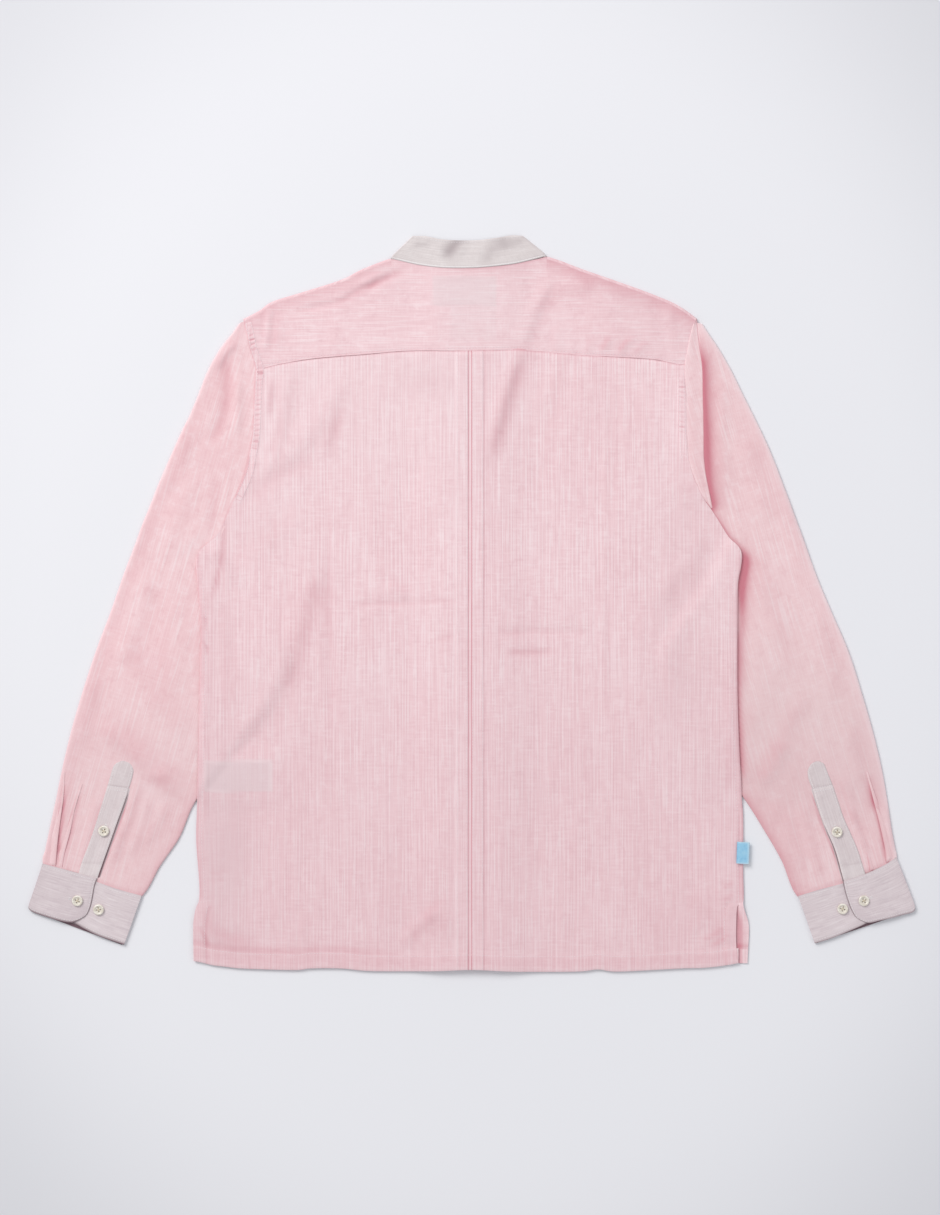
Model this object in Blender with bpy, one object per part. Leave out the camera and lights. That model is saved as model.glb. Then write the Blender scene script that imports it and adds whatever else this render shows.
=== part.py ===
"""A long-sleeved guayabera shirt laid flat, face down, on a surface.

Lengths in the tables are millimetres. X runs across the shirt, Y runs from the hem
to the collar and Z up from the surface. The wearer's left is at -X, because the
back of the shirt looks up. The origin is the middle of the shirt on the surface.
"""

import math

import bpy
import bmesh
import numpy as np
from mathutils import Vector

for old in list(bpy.data.objects):
    bpy.data.objects.remove(old, do_unlink=True)

# ---------------------------------------------------------------- sizes
MM = 0.001
CLOTH = 1.0  # wall of the cloth
LABEL = 0.5  # wall of the woven labels
GAP = 0.3  # between layers that lie on each other
SEAM = 0.4  # between pieces that are sewn edge to edge, measured along X or Y
LAYER = CLOTH + GAP

CENTRE_BACK = 3.8  # how far the closed front lifts the back along the centre
PLACKET_LIFT = 2.5  # the left front's button edge, on its buttons
UNDERLAP_LIFT = PLACKET_LIFT + LAYER  # the right front's edge, on that placket
BACK_RAMP = (75.0, 20.0)  # where the back starts to rise and is fully up
FRONT_RAMP = (60.0, 18.0)  # the same for the fronts
OVER_SLEEVE = 2 * LAYER  # the body where a sleeve passes below it
HEAD_LIFT = LAYER  # the back beside the folded right sleeve head

TUCK_RISE = 1.0
TUCK_STEP = 0.4
TUCKS = ((-17.3, -4.7), (-1.1, 11.6))  # the two centre-back tucks, from x to x
PLACKET_HALF = 17.5  # half the width of the front placket
UNDERLAP_EDGE = -14.0  # how far the right front reaches under the placket

MIDDLE = (-1.45, 0.17)  # middle of the whole outline, which becomes the origin

BUTTON_RADIUS, BUTTON_HEIGHT = 5.7, 2.2
BUTTON_HOLE_RADIUS, BUTTON_HOLE_OFFSET = 0.75, 1.55

# The back and both fronts share these rows, from the yoke seam to the hem.
# left_x, left_y, right_x, right_y
BODY_ROWS = np.array(
    [
        (-227, 247, 223, 252),  # end of the yoke seam
        (-228, 231, 224, 218),
        (-229, 207, 224, 195),
        (-230, 182, 225, 171),
        (-235, 155, 228, 145),
        (-244, 123, 235, 125),
        (-254, 103, 243, 108),
        (-260, 87, 259, 86),
        (-268, 62, 269, 70),  # the sleeves go below the body
        (-287, 50, 282, 56),  # underarm
        (-290, 28, 281, 27),
        (-288, -8, 278, -5),
        (-285, -35, 278, -45),
        (-287, -89, 278, -89),
        (-288, -143, 280, -146),
        (-289, -207, 283, -204),  # the sleeves come out again
        (-289, -220, 284, -216),
        (-290, -249, 285, -240),
        (-287, -301, 285, -290),
        (-289, -314, 285, -315),  # top of the side vents
        (-290, -318, 278.5, -317.5),
        (-293, -341, 277, -340),
        (-293, -376, 279, -378),  # hem
    ],
    dtype=float,
)
VENT_ROW = 20
# The right front's flap shows outside the back below the vent: x by row
RIGHT_FLAP = {20: 285.5, 21: 289.5, 22: 288.0}

# x, y along the yoke seam and the hem
YOKE_SEAM = np.array(
    [(-227, 247), (-202, 252), (-139, 260), (-67, 266), (66, 266), (113, 261), (187, 257), (223, 252)], dtype=float
)
HEM = np.array(
    [(-293, -376), (-274, -380), (-239, -384), (-107, -386), (0, -385), (110, -387), (221, -384), (261, -381), (279, -378)],
    dtype=float,
)
FRONT_HEM_RISE = 5.0

# x, y along each shoulder fold, from the armhole to the neck
SHOULDER_LEFT = np.array([(-241, 298), (-223, 308), (-211, 317), (-182, 326), (-139, 339), (-118, 351), (-87.5, 361)], dtype=float)
SHOULDER_RIGHT = np.array([(79.8, 363.2), (113, 352), (155, 337), (181, 328), (208, 317), (235, 299)], dtype=float)

# Columns shared by the back, the yoke and the fronts
SIDE_SHARES = (0, 0.03, 0.12, 0.22, 0.33, 0.45, 0.57, 0.7, 0.85, 1)  # from a side edge to BACK_RAMP[0]

# collar band, back half: seam_x, seam_y, top_x, top_y
COLLAR_BACK = np.array(
    [
        (-85.6, 362.2, -63.5, 385.9),
        (-75, 360.5, -57, 386),
        (-46, 356.5, -37, 384),
        (-20, 352.6, -16, 381.4),
        (12, 352.2, 6, 381.4),
        (46, 357.8, 30, 384),
        (72, 362.2, 48.5, 386.4),
        (78.2, 364.4, 53, 386.4),
    ],
    dtype=float,
)
# collar band, front halves, from the fold at each side to the end at the centre
COLLAR_LEFT = np.array(
    [(-84, 333, -55, 351), (-70, 305, -46, 327), (-45, 283, -30, 311), (-18, 273, -12, 303), (12, 270, 12, 300)], dtype=float
)
COLLAR_RIGHT = np.array(
    [(77, 333, 47, 351), (63, 305, 40, 327), (40, 283, 25, 311), (16, 273, 10, 303), (-12, 270, -12, 300)], dtype=float
)

# left sleeve: outer_x, outer_y, inner_x, inner_y. The inner ends of rows 2 to 10 are
# the armhole, and those of rows 11 to 17 lie hidden below the body.
SLEEVE_LEFT = np.array(
    [
        (-246, 291, -239.1, 291),
        (-261, 273, -234.1, 273),
        (-278, 245, -227, 247),
        (-290, 215, -228, 231),
        (-297, 198, -229, 207),
        (-305, 182, -230, 182),
        (-318, 153, -235, 155),
        (-331, 123, -244, 123),
        (-340, 100, -254, 103),
        (-347, 83, -260, 87),
        (-355, 61, -268, 62),
        (-366, 32, -250, 28),
        (-381, -11, -225, -8),
        (-395, -48, -196, -50),
        (-411, -97, -207, -97),
        (-424, -143, -240, -143),
        (-432, -178, -264, -178),
        (-438, -207, -290, -207),
        (-445, -240, -310, -250),
        (-449, -259, -328, -276),
        (-451.5, -273.1, -347.6, -306.9),
    ],
    dtype=float,
)
SLEEVE_LEFT_SHARES = (0, 0.04, 0.13, 0.25, 0.33, 0.64, 0.96, 1)
# right sleeve: inner_x, inner_y, fold_x, fold_y, outer_x, outer_y. The fold is the
# edge of the sleeve head that lies doubled beside the armhole in rows 0 to 8.
SLEEVE_RIGHT = np.array(
    [
        (233.1, 292, 236.5, 292, 242, 291),
        (228.1, 272, 239, 272, 256, 272),
        (223, 252, 242, 252, 268, 252),
        (224, 218, 242.5, 218, 285, 218),
        (224, 195, 243, 195, 297, 194),
        (225, 171, 243, 171, 308, 171),
        (228, 145, 244, 145, 319, 145),
        (235, 125, 247, 125, 326.5, 125),
        (243, 108, 251, 107, 333, 108),
        (259, 86, 268, 86, 341, 86),
        (269, 70, 279, 70, 347, 70),
        (250, 28, 284, 28, 362, 28),
        (225, -8, 281, -8, 377, -8),
        (198, -50, 281, -50, 395, -50),
        (207, -97, 281, -97, 410, -97),
        (240, -143, 283, -143, 423, -143),
        (264, -178, 286, -178, 431, -178),
        (285, -205, 300, -207, 436, -207),
        (306, -238, 320, -241, 441, -240),
        (325, -271, 339, -268, 445, -258),
        (341.7, -307.3, 355, -302.3, 446.1, -268.4),
    ],
    dtype=float,
)
SLEEVE_RIGHT_SHARES = (0, 0.34, 0.665, 0.75, 0.87, 0.96, 1)  # from the fold to the outer edge
HEAD_ROWS = 8  # rows of the doubled sleeve head
DIVE_ROW = 10  # the last armhole row: below it the sleeve lies under the body

# Pleats into the cuffs: the column they run along, and their rise by row from the cuff
PLEAT_RISE = (0.9, 0.9, 0.6, 0.2)

# cuffs: corners of the flat ring, and the free end of its overlap (x, y)
CUFF_LEFT = {
    "outer_top": (-451.6, -273.5),
    "inner_top": (-347.7, -307.3),
    "outer_bottom": (-466.5, -323.0),
    "inner_bottom": (-366.1, -359.1),
    "overlap_end": ((-394.8, -292.3), (-399.5, -309.0), (-405.0, -325.5), (-421.0, -336.5)),
}
CUFF_RIGHT = {
    "outer_top": (446.2, -268.8),
    "inner_top": (341.8, -307.7),
    "outer_bottom": (463.6, -324.0),
    "inner_bottom": (359.6, -357.5),
    "overlap_end": ((390.1, -290.2), (394.8, -308.0), (400.8, -325.5), (416.0, -336.0)),
}
CUFF_SHARES = (0, 0.03, 0.16, 0.3, 0.54, 0.75, 0.97, 1)
OVERLAP_START, OVERLAP_END = 3, 4  # columns of CUFF_SHARES where the ends lie doubled

# sleeve plackets: left_x, left_y, right_x, right_y, from the tip to the cuff
PLACKET_SLEEVE_LEFT = np.array(
    [
        (-370.0, -167.2, -362.0, -166.8),
        (-376.5, -171.0, -356.8, -171.5),
        (-379.5, -179.0, -356.0, -179.5),
        (-383.8, -192.2, -361.5, -195.3),
        (-397.0, -235.2, -374.5, -235.0),
        (-409.5, -270.9, -388.5, -273.0),
        (-413.4, -283.6, -394.6, -290.0),
    ]
)
PLACKET_SLEEVE_RIGHT = np.array(
    [
        (357.5, -167.4, 366.5, -167.4),
        (352.5, -174.0, 372.0, -175.5),
        (352.5, -184.0, 376.0, -185.5),
        (357.5, -195.3, 378.8, -192.5),
        (371.5, -237.0, 394.5, -236.0),
        (384.8, -273.5, 407.0, -267.0),
        (389.5, -289.4, 411.5, -281.0),
    ]
)

# buttons: x, y, height of the cloth below it, turn in degrees
ON_PLACKET = 2 * LAYER + CLOTH
ON_OVERLAP = 2 * LAYER + CLOTH
ON_UNDERLAP = LAYER + CLOTH
BUTTONS = {
    "button_cuff_left_1": (-414.8, -312.6, ON_OVERLAP, 20),
    "button_cuff_left_2": (-392.6, -322.1, ON_UNDERLAP, 55),
    "button_cuff_right_1": (410.9, -312.6, ON_OVERLAP, -15),
    "button_cuff_right_2": (388.8, -321.3, ON_UNDERLAP, 30),
    "button_sleeve_left": (-387.1, -239.4, ON_PLACKET, 12),
    "button_sleeve_right": (382.7, -240.5, ON_PLACKET, 40),
}
FRONT_BUTTON_TOP, FRONT_BUTTON_STEP, FRONT_BUTTON_COUNT = 228.0, 95.0, 6
COLLAR_BUTTON_Y = 286.0

SIDE_TAB = {"x": (277.2, 290.3), "y": (-273.0, -251.0)}
CARE_LABEL = {"x": (-281.0, -211.0), "y": (-199.0, -165.0)}
NECK_LABEL = {"x": (-42.5, 25.7), "y": (312.0, 343.0)}

# Largest soft folds of the back and the yoke: x0, y0, x1, y1, half width, rise
FOLDS = np.array(
    [
        (76, 329, 55, 266, 30, 1.0),
        (55, 266, 20, 145, 32, 1.2),
        (-128, 255, -228, 125, 30, 1.0),
        (-170, 30, -145, 160, 40, 0.8),
        (150, 200, 140, -180, 36, 0.7),
        (-100, -365, -20, -365, 30, 0.9),
    ],
    dtype=float,
)

# ---------------------------------------------------------------- looks
COLOURS = {  # red, green, blue, roughness
    "cloth": (0.84, 0.60, 0.62, 0.9),
    "sleeve": (0.86, 0.57, 0.60, 0.9),
    "trim": (0.67, 0.61, 0.65, 0.9),
    "tower": (0.63, 0.59, 0.59, 0.9),
    "button": (0.83, 0.78, 0.72, 0.35),
    "tab": (0.35, 0.64, 0.86, 0.8),
    "label": (0.80, 0.79, 0.79, 0.8),
}


def material(name, colour):
    red, green, blue, rough = COLOURS[colour]
    mat = bpy.data.materials.new(name + "_material")
    mat.use_nodes = True
    shader = mat.node_tree.nodes["Principled BSDF"]
    shader.inputs["Base Color"].default_value = (red, green, blue, 1)
    shader.inputs["Roughness"].default_value = rough
    shader.inputs["Metallic"].default_value = 0
    return mat


# ---------------------------------------------------------------- makers
def finish(name, mesh, colour):
    """An object of this mesh, with its faces turned outwards."""
    bm = bmesh.new()
    bm.from_mesh(mesh)
    bmesh.ops.recalc_face_normals(bm, faces=bm.faces)
    bm.to_mesh(mesh)
    bm.free()
    obj = bpy.data.objects.new(name, mesh)
    bpy.context.scene.collection.objects.link(obj)
    mesh.materials.append(material(name, colour))
    return obj


def from_cells(name, points, filled, colour):
    """One solid from a block of cells. points[row, column, level] is a corner in
    millimetres and filled[row, column, level] says which cells hold cloth. A face is
    made wherever a filled cell meets an empty one."""
    rows, columns, levels = filled.shape
    verts, faces, index = [], [], {}

    def corner(r, c, k):
        key = (r, c, k)
        if key not in index:
            index[key] = len(verts)
            verts.append(Vector(points[r, c, k]) * MM)
        return index[key]

    def is_full(r, c, k):
        return 0 <= r < rows and 0 <= c < columns and 0 <= k < levels and filled[r, c, k]

    for r in range(rows):
        for c in range(columns):
            for k in range(levels):
                if not filled[r, c, k]:
                    continue
                if not is_full(r, c, k - 1):
                    faces.append([corner(r, c, k), corner(r, c + 1, k), corner(r + 1, c + 1, k), corner(r + 1, c, k)])
                if not is_full(r, c, k + 1):
                    faces.append([corner(r, c, k + 1), corner(r + 1, c, k + 1), corner(r + 1, c + 1, k + 1), corner(r, c + 1, k + 1)])
                if not is_full(r - 1, c, k):
                    faces.append([corner(r, c, k), corner(r, c, k + 1), corner(r, c + 1, k + 1), corner(r, c + 1, k)])
                if not is_full(r + 1, c, k):
                    faces.append([corner(r + 1, c, k), corner(r + 1, c + 1, k), corner(r + 1, c + 1, k + 1), corner(r + 1, c, k + 1)])
                if not is_full(r, c - 1, k):
                    faces.append([corner(r, c, k), corner(r + 1, c, k), corner(r + 1, c, k + 1), corner(r, c, k + 1)])
                if not is_full(r, c + 1, k):
                    faces.append([corner(r, c + 1, k), corner(r, c + 1, k + 1), corner(r + 1, c + 1, k + 1), corner(r + 1, c + 1, k)])
    mesh = bpy.data.meshes.new(name)
    mesh.from_pydata([tuple(v) for v in verts], [], faces)
    return finish(name, mesh, colour)


def slab(name, flat, bottom, top, colour):
    """A single layer: flat[row, column] gives x and y, bottom and top its heights."""
    rows, columns = flat.shape[:2]
    points = np.zeros((rows, columns, 2, 3))
    points[:, :, :, :2] = flat[:, :, None, :]
    points[:, :, 0, 2] = bottom
    points[:, :, 1, 2] = top
    return from_cells(name, points, np.ones((rows - 1, columns - 1, 1), bool), colour)


def swept_strip(name, stations, colour):
    """A strip of cloth along stations of (one edge, other edge, outward normal)."""
    verts, faces = [], []
    for lower, upper, normal in stations:
        half = Vector(normal) * CLOTH / 2
        lower, upper = Vector(lower), Vector(upper)
        verts += [(lower - half) * MM, (lower + half) * MM, (upper + half) * MM, (upper - half) * MM]
    count = len(stations)
    for s in range(count - 1):
        for k in range(4):
            a, b = 4 * s + k, 4 * s + (k + 1) % 4
            faces.append([a, b, b + 4, a + 4])
    faces.append([3, 2, 1, 0])
    faces.append([4 * count - 4 + k for k in range(4)])
    mesh = bpy.data.meshes.new(name)
    mesh.from_pydata([tuple(v) for v in verts], [], faces)
    return finish(name, mesh, colour)


# ---------------------------------------------------------------- heights
def ramp(x, ends):
    """0 outside ends[0] from the centre line, 1 inside ends[1]."""
    return np.clip((ends[0] - np.abs(x)) / (ends[0] - ends[1]), 0, 1)


def inside(polygon, x, y):
    """Whether a point is inside a closed outline."""
    hit = False
    for (ax, ay), (bx, by) in zip(polygon, np.roll(polygon, -1, axis=0)):
        if (ay > y) != (by > y) and x < ax + (y - ay) / (by - ay) * (bx - ax):
            hit = not hit
    return hit


def fold_rise(x, y):
    """Height of the largest soft folds at a point."""
    rise = 0.0
    for x0, y0, x1, y1, half, height in FOLDS:
        dx, dy = x1 - x0, y1 - y0
        along = min(max(((x - x0) * dx + (y - y0) * dy) / (dx * dx + dy * dy), 0), 1)
        away = math.hypot(x - x0 - along * dx, y - y0 - along * dy) / half
        if away < 1:
            rise = max(rise, height * 0.5 * (1 + math.cos(math.pi * away)))
    return rise


# ---------------------------------------------------------------- body grid
def tuck_columns():
    """x of the columns at the steps of the tucks, and whether each is raised."""
    out = []
    for start, end in TUCKS:
        out += [(start - TUCK_STEP, 0), (start, 1), (end, 1), (end + TUCK_STEP, 0)]
    return out


INNER_COLUMNS = [(-46.0, 0), (-BACK_RAMP[1], 0)] + tuck_columns() + [(BACK_RAMP[1], 0), (46.0, 0)]
INNER_X = np.array([x for x, _ in INNER_COLUMNS])
RAISED = np.array([up for _, up in INNER_COLUMNS])
SIDE = np.array(SIDE_SHARES)


def row_across(left, right):
    """x of every column of a body row between two side edges."""
    return np.concatenate(
        [left + SIDE * (-BACK_RAMP[0] - left), INNER_X, BACK_RAMP[0] + (1 - SIDE[::-1]) * (right - BACK_RAMP[0])]
    )


def body_flat():
    """x and y of the body grid: the yoke seam is row 0 and the hem the last one."""
    rows = []
    for r, (lx, ly, rx, ry) in enumerate(BODY_ROWS):
        x = row_across(lx, rx)
        y = ly + (ry - ly) * (x - lx) / (rx - lx)
        bow = np.interp(x, YOKE_SEAM[:, 0], YOKE_SEAM[:, 1]) - (247 + 5 * (x + 227) / 450)
        y = y + bow * max(0.0, 1 - r / 5)
        if r == len(BODY_ROWS) - 1:
            y = np.interp(x, HEM[:, 0], HEM[:, 1])
        rows.append(np.stack([x, y], axis=1))
    return np.array(rows)


BODY = body_flat()
COLUMNS = BODY.shape[1]
LEFT_END = len(SIDE)  # columns 0 to LEFT_END - 1 run from the left edge to -BACK_RAMP[0]
RIGHT_START = COLUMNS - len(SIDE)


def sleeve_below(rows, inner, outer):
    """Outline of a sleeve where it lies below the body."""
    a = rows[DIVE_ROW:, inner : inner + 2]
    b = rows[DIVE_ROW:, outer : outer + 2]
    return np.concatenate([a, b[::-1]])


def body_lift():
    """How far each point of the body grid is lifted by the sleeves below it."""
    shapes = [sleeve_below(SLEEVE_LEFT, 2, 0), sleeve_below(SLEEVE_RIGHT, 0, 4)]
    lift = np.zeros(BODY.shape[:2])
    steps = (np.arange(7) + 0.5) / 7
    for r in range(len(BODY) - 1):
        for c in range(COLUMNS - 1):
            if abs(BODY[r, c, 0]) < 110:
                continue
            a, b = BODY[r, c], BODY[r, c + 1]
            d, e = BODY[r + 1, c], BODY[r + 1, c + 1]
            over = False
            for u in steps:
                for v in steps:
                    p = (a * (1 - u) + b * u) * (1 - v) + (d * (1 - u) + e * u) * v
                    p = p * np.array([1 + 5 / max(abs(p[0]), 60), 1])  # 5 mm to spare inwards
                    if any(inside(s, p[0], p[1]) for s in shapes):
                        over = True
            if over:
                lift[r : r + 2, c : c + 2] = OVER_SLEEVE
    full = lift > 0
    for r in range(len(BODY)):
        for c in range(COLUMNS):
            if not full[r, c] and full[max(r - 1, 0) : r + 2, max(c - 1, 0) : c + 2].any():
                lift[r, c] = 0.35 * OVER_SLEEVE
    return lift


LIFT = body_lift()


def head_lift(r, x, edge):
    """Extra height of the back beside the doubled right sleeve head."""
    if r > HEAD_ROWS:
        return 0.0
    return HEAD_LIFT * min(max(1 - (edge - x) / 34, 0), 1)


def over_label(r, c):
    """True for a corner of any cell that the care label lies under."""
    x, y = BODY[:, :, 0], BODY[:, :, 1]
    for rr in (r - 1, r):
        for cc in (c - 1, c):
            if rr < 0 or cc < 0 or rr + 1 >= len(BODY) or cc + 1 >= COLUMNS:
                continue
            xs, ys = x[rr : rr + 2, cc : cc + 2], y[rr : rr + 2, cc : cc + 2]
            (x0, x1), (y0, y1) = CARE_LABEL["x"], CARE_LABEL["y"]
            if xs.max() > x0 and xs.min() < x1 and ys.max() > y0 and ys.min() < y1:
                return True
    return False


LABEL_LIFT = OVER_SLEEVE + LABEL + GAP + 0.1

# ---------------------------------------------------------------- back
back_flat = BODY.copy()
back_flat[0, :, 1] -= SEAM / 2
back_bottom = np.zeros(BODY.shape[:2])
back_top = np.zeros(BODY.shape[:2])
for r in range(len(BODY)):
    for c in range(COLUMNS):
        x, y = BODY[r, c]
        z = LAYER + LIFT[r, c] + CENTRE_BACK * ramp(x, BACK_RAMP) + head_lift(r, x, BODY[r, -1, 0])
        if over_label(r, c):
            z = max(z, LAYER + LABEL_LIFT)
        z += fold_rise(x, y) if r else 0.0
        tuck = RAISED[c - LEFT_END] if LEFT_END <= c < RIGHT_START else 0
        back_bottom[r, c], back_top[r, c] = z, z + CLOTH + tuck * TUCK_RISE
slab("back", back_flat, back_bottom, back_top, "cloth")

# ---------------------------------------------------------------- yoke
YOKE_SHARES = np.array([0, 0.02, 0.25, 0.6, 1.0])
NECK = COLLAR_BACK[:, :2]


def yoke_top():
    """x and y of the yoke's upper edge: two shoulder folds with the neck seam between."""
    left = SHOULDER_LEFT[0, 0] + SIDE[:-1] / SIDE[-2] * (SHOULDER_LEFT[-1, 0] - SHOULDER_LEFT[0, 0])
    right = SHOULDER_RIGHT[0, 0] + (1 - SIDE[::-1][1:] / SIDE[-2]) * (SHOULDER_RIGHT[-1, 0] - SHOULDER_RIGHT[0, 0])
    x = np.concatenate([left, [-BACK_RAMP[0]], INNER_X, [72.0], right])
    neck = np.interp(x, NECK[:, 0], NECK[:, 1]) - SEAM
    y = np.where(x < -80, np.interp(x, SHOULDER_LEFT[:, 0], SHOULDER_LEFT[:, 1]), neck)
    y = np.where(x > 79, np.interp(x, SHOULDER_RIGHT[:, 0], SHOULDER_RIGHT[:, 1]), y)
    return np.stack([x, y], axis=1)


top_edge, seam_edge = yoke_top(), BODY[0] + np.array([0, SEAM / 2])
yoke_flat = np.array([top_edge * (1 - s) + seam_edge * s for s in YOKE_SHARES])
yoke_points = np.zeros((len(YOKE_SHARES), COLUMNS, 4, 3))
yoke_points[:, :, :, :2] = yoke_flat[:, :, None, :]
for r, share in enumerate(YOKE_SHARES):
    for c in range(COLUMNS):
        x = yoke_flat[r, c, 0]
        head = HEAD_LIFT * share * min(max(1 - (yoke_flat[r, -1, 0] - x) / 34, 0), 1)
        z = LAYER + CENTRE_BACK * ramp(x, BACK_RAMP) + head
        yoke_points[r, c, :, 2] = (0, CLOTH, z, z + CLOTH)
yoke_filled = np.zeros((len(YOKE_SHARES) - 1, COLUMNS - 1, 3), bool)
yoke_filled[:, :, 2] = True
for c in range(COLUMNS - 1):
    if c < LEFT_END - 2 or c >= RIGHT_START + 1:  # over the shoulders it folds to the front
        yoke_filled[0, c, :] = True
        yoke_filled[1, c, 0] = True
from_cells("yoke", yoke_points, yoke_filled, "cloth")
shoulder_seam = yoke_flat[2]

# ---------------------------------------------------------------- fronts
def front_lift(x, left):
    return (PLACKET_LIFT if left else UNDERLAP_LIFT) * float(ramp(x, FRONT_RAMP)) if (x < 0) == left or abs(x) < FRONT_RAMP[1] else 0.0


def front_panel(name, left):
    """A front with its shoulder seam and neckline along the top."""
    if left:
        keep = list(range(0, LEFT_END))
        inner = [-FRONT_RAMP[0], -FRONT_RAMP[1], -PLACKET_HALF - GAP]
        neck = [(-85.6, 331.8), (-71.2, 303.8), (-46.0, 281.8), (-19.0, 272.4), (-PLACKET_HALF - GAP, 271.9)]
    else:
        keep = list(range(RIGHT_START, COLUMNS))
        inner = [FRONT_RAMP[0], FRONT_RAMP[1], UNDERLAP_EDGE]
        neck = [(78.8, 331.8), (64.4, 303.8), (41.2, 281.8), (18.0, 272.6), (UNDERLAP_EDGE, 268.9)]
    rows = []
    # the top row follows the front edge of the yoke, then the neckline
    shoulder = shoulder_seam[keep[:-1]] if left else shoulder_seam[keep[1:]]
    shoulder = shoulder - np.array([0, SEAM])
    shoulder = shoulder[:-1] if left else shoulder[1:]
    points = list(map(tuple, shoulder)) if left else list(map(tuple, shoulder[::-1]))
    points = points + neck
    rows.append(np.array(points))
    for r in range(len(BODY)):
        edge = BODY[r, keep]
        if not left:
            edge = edge[::-1].copy()
            if r in RIGHT_FLAP:
                edge[:, 0] = BACK_RAMP[0] + (1 - SIDE) * (RIGHT_FLAP[r] - BACK_RAMP[0])
        lx, ly, rx, ry = BODY_ROWS[r]
        middle = [(x, ly + (ry - ly) * (x - lx) / (rx - lx)) for x in inner]
        row = np.concatenate([edge, np.array(middle)])
        if r == 0:
            row[:, 1] = ly + (ry - ly) * (row[:, 0] - lx) / (rx - lx)
        if r == len(BODY) - 1:
            row[:, 1] = np.interp(row[:, 0], HEM[:, 0], HEM[:, 1]) + FRONT_HEM_RISE
        rows.append(row)
    flat = np.array(rows)
    middle = flat[0] * 0.45 + flat[1] * 0.55
    flat = np.concatenate([flat[:1], [middle], flat[1:]])
    z = np.zeros(flat.shape[:2])
    for r in range(len(flat)):
        for c in range(flat.shape[1]):
            z[r, c] = front_lift(flat[r, c, 0], left)
            if r >= 2 and c < len(SIDE):
                column = keep[c] if left else keep[::-1][c]
                z[r, c] = max(z[r, c], LIFT[r - 2, column])
    if not left:  # both fronts run the way the back does, so that their facets match it
        flat, z = flat[:, ::-1], z[:, ::-1]
    return slab(name, flat, z, z + CLOTH, "cloth")


front_panel("front_left", True)
front_panel("front_right", False)

placket_y = np.array([271.4, 180, 90, 0, -90, -180, -290, -385.2 + FRONT_HEM_RISE])
placket_flat = np.array([[(x, y if i else y - 0.1 * (x + PLACKET_HALF)) for x in (-PLACKET_HALF, 0, PLACKET_HALF)] for i, y in enumerate(placket_y)])
slab("front_placket", placket_flat, PLACKET_LIFT, PLACKET_LIFT + CLOTH, "cloth")


# ---------------------------------------------------------------- collar
def turn_back(lower, upper, outward, steps=4):
    """Stations round a fold from the layer on the surface to the layer above it."""
    out = []
    for i in range(steps + 1):
        angle = math.pi * i / steps
        shift = Vector((outward[0], outward[1], 0)) * (LAYER / 2 * math.sin(angle))
        height = CLOTH / 2 + LAYER / 2 * (1 - math.cos(angle))
        normal = Vector((outward[0] * math.sin(angle), outward[1] * math.sin(angle), -math.cos(angle)))
        out.append((Vector((lower[0], lower[1], height)) + shift, Vector((upper[0], upper[1], height)) + shift, normal))
    return out


def half_stations(rows, left):
    out = []
    for bx, by, ax, ay in rows:
        zb, za = (CLOTH / 2 + front_lift(x, left) for x in (bx, ax))
        out.append(((bx, by, zb), (ax, ay, za), (0, 0, -1)))
    return out


def outward_of(row, sign):
    edge = Vector((row[2] - row[0], row[3] - row[1])).normalized()
    return (-edge.y, edge.x) if sign < 0 else (edge.y, -edge.x)


stations = half_stations(COLLAR_LEFT[::-1], True)
stations += turn_back(COLLAR_BACK[0, :2], COLLAR_BACK[0, 2:], outward_of(COLLAR_BACK[0], -1))
for bx, by, ax, ay in COLLAR_BACK[1:-1]:
    stations.append(((bx, by, LAYER + CLOTH / 2), (ax, ay, LAYER + CLOTH / 2), (0, 0, 1)))
stations += turn_back(COLLAR_BACK[-1, :2], COLLAR_BACK[-1, 2:], outward_of(COLLAR_BACK[-1], 1))[::-1]
stations += half_stations(COLLAR_RIGHT, False)
swept_strip("collar_band", stations, "trim")

# ---------------------------------------------------------------- sleeves
Z_LEVELS = np.array([0, CLOTH, LAYER, LAYER + CLOTH])


def pleat(rows, r, columns, c):
    """Rise of the upper wall along the pleats that run into the cuff."""
    step = rows - 1 - r
    return PLEAT_RISE[step] if c in columns and step < len(PLEAT_RISE) else 0.0


def sleeve_left():
    rows, shares = len(SLEEVE_LEFT), SLEEVE_LEFT_SHARES
    points = np.zeros((rows, len(shares), 4, 3))
    for r, (ox, oy, ix, iy) in enumerate(SLEEVE_LEFT):
        if r <= DIVE_ROW:
            ix -= SEAM
        for c, share in enumerate(shares):
            points[r, c, :, 0] = ox + (ix - ox) * share
            points[r, c, :, 1] = oy + (iy - oy) * share
            points[r, c, :, 2] = Z_LEVELS
            points[r, c, 2:, 2] += pleat(rows, r, (2, 3), c)
    filled = np.zeros((rows - 1, len(shares) - 1, 3), bool)
    filled[:, :, 0] = filled[:, :, 2] = True
    filled[:, 0, 1] = True  # the fold along the outer edge
    filled[DIVE_ROW:, -1, 1] = True  # the fold along the underarm seam
    from_cells("sleeve_left", points, filled, "sleeve")


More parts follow.
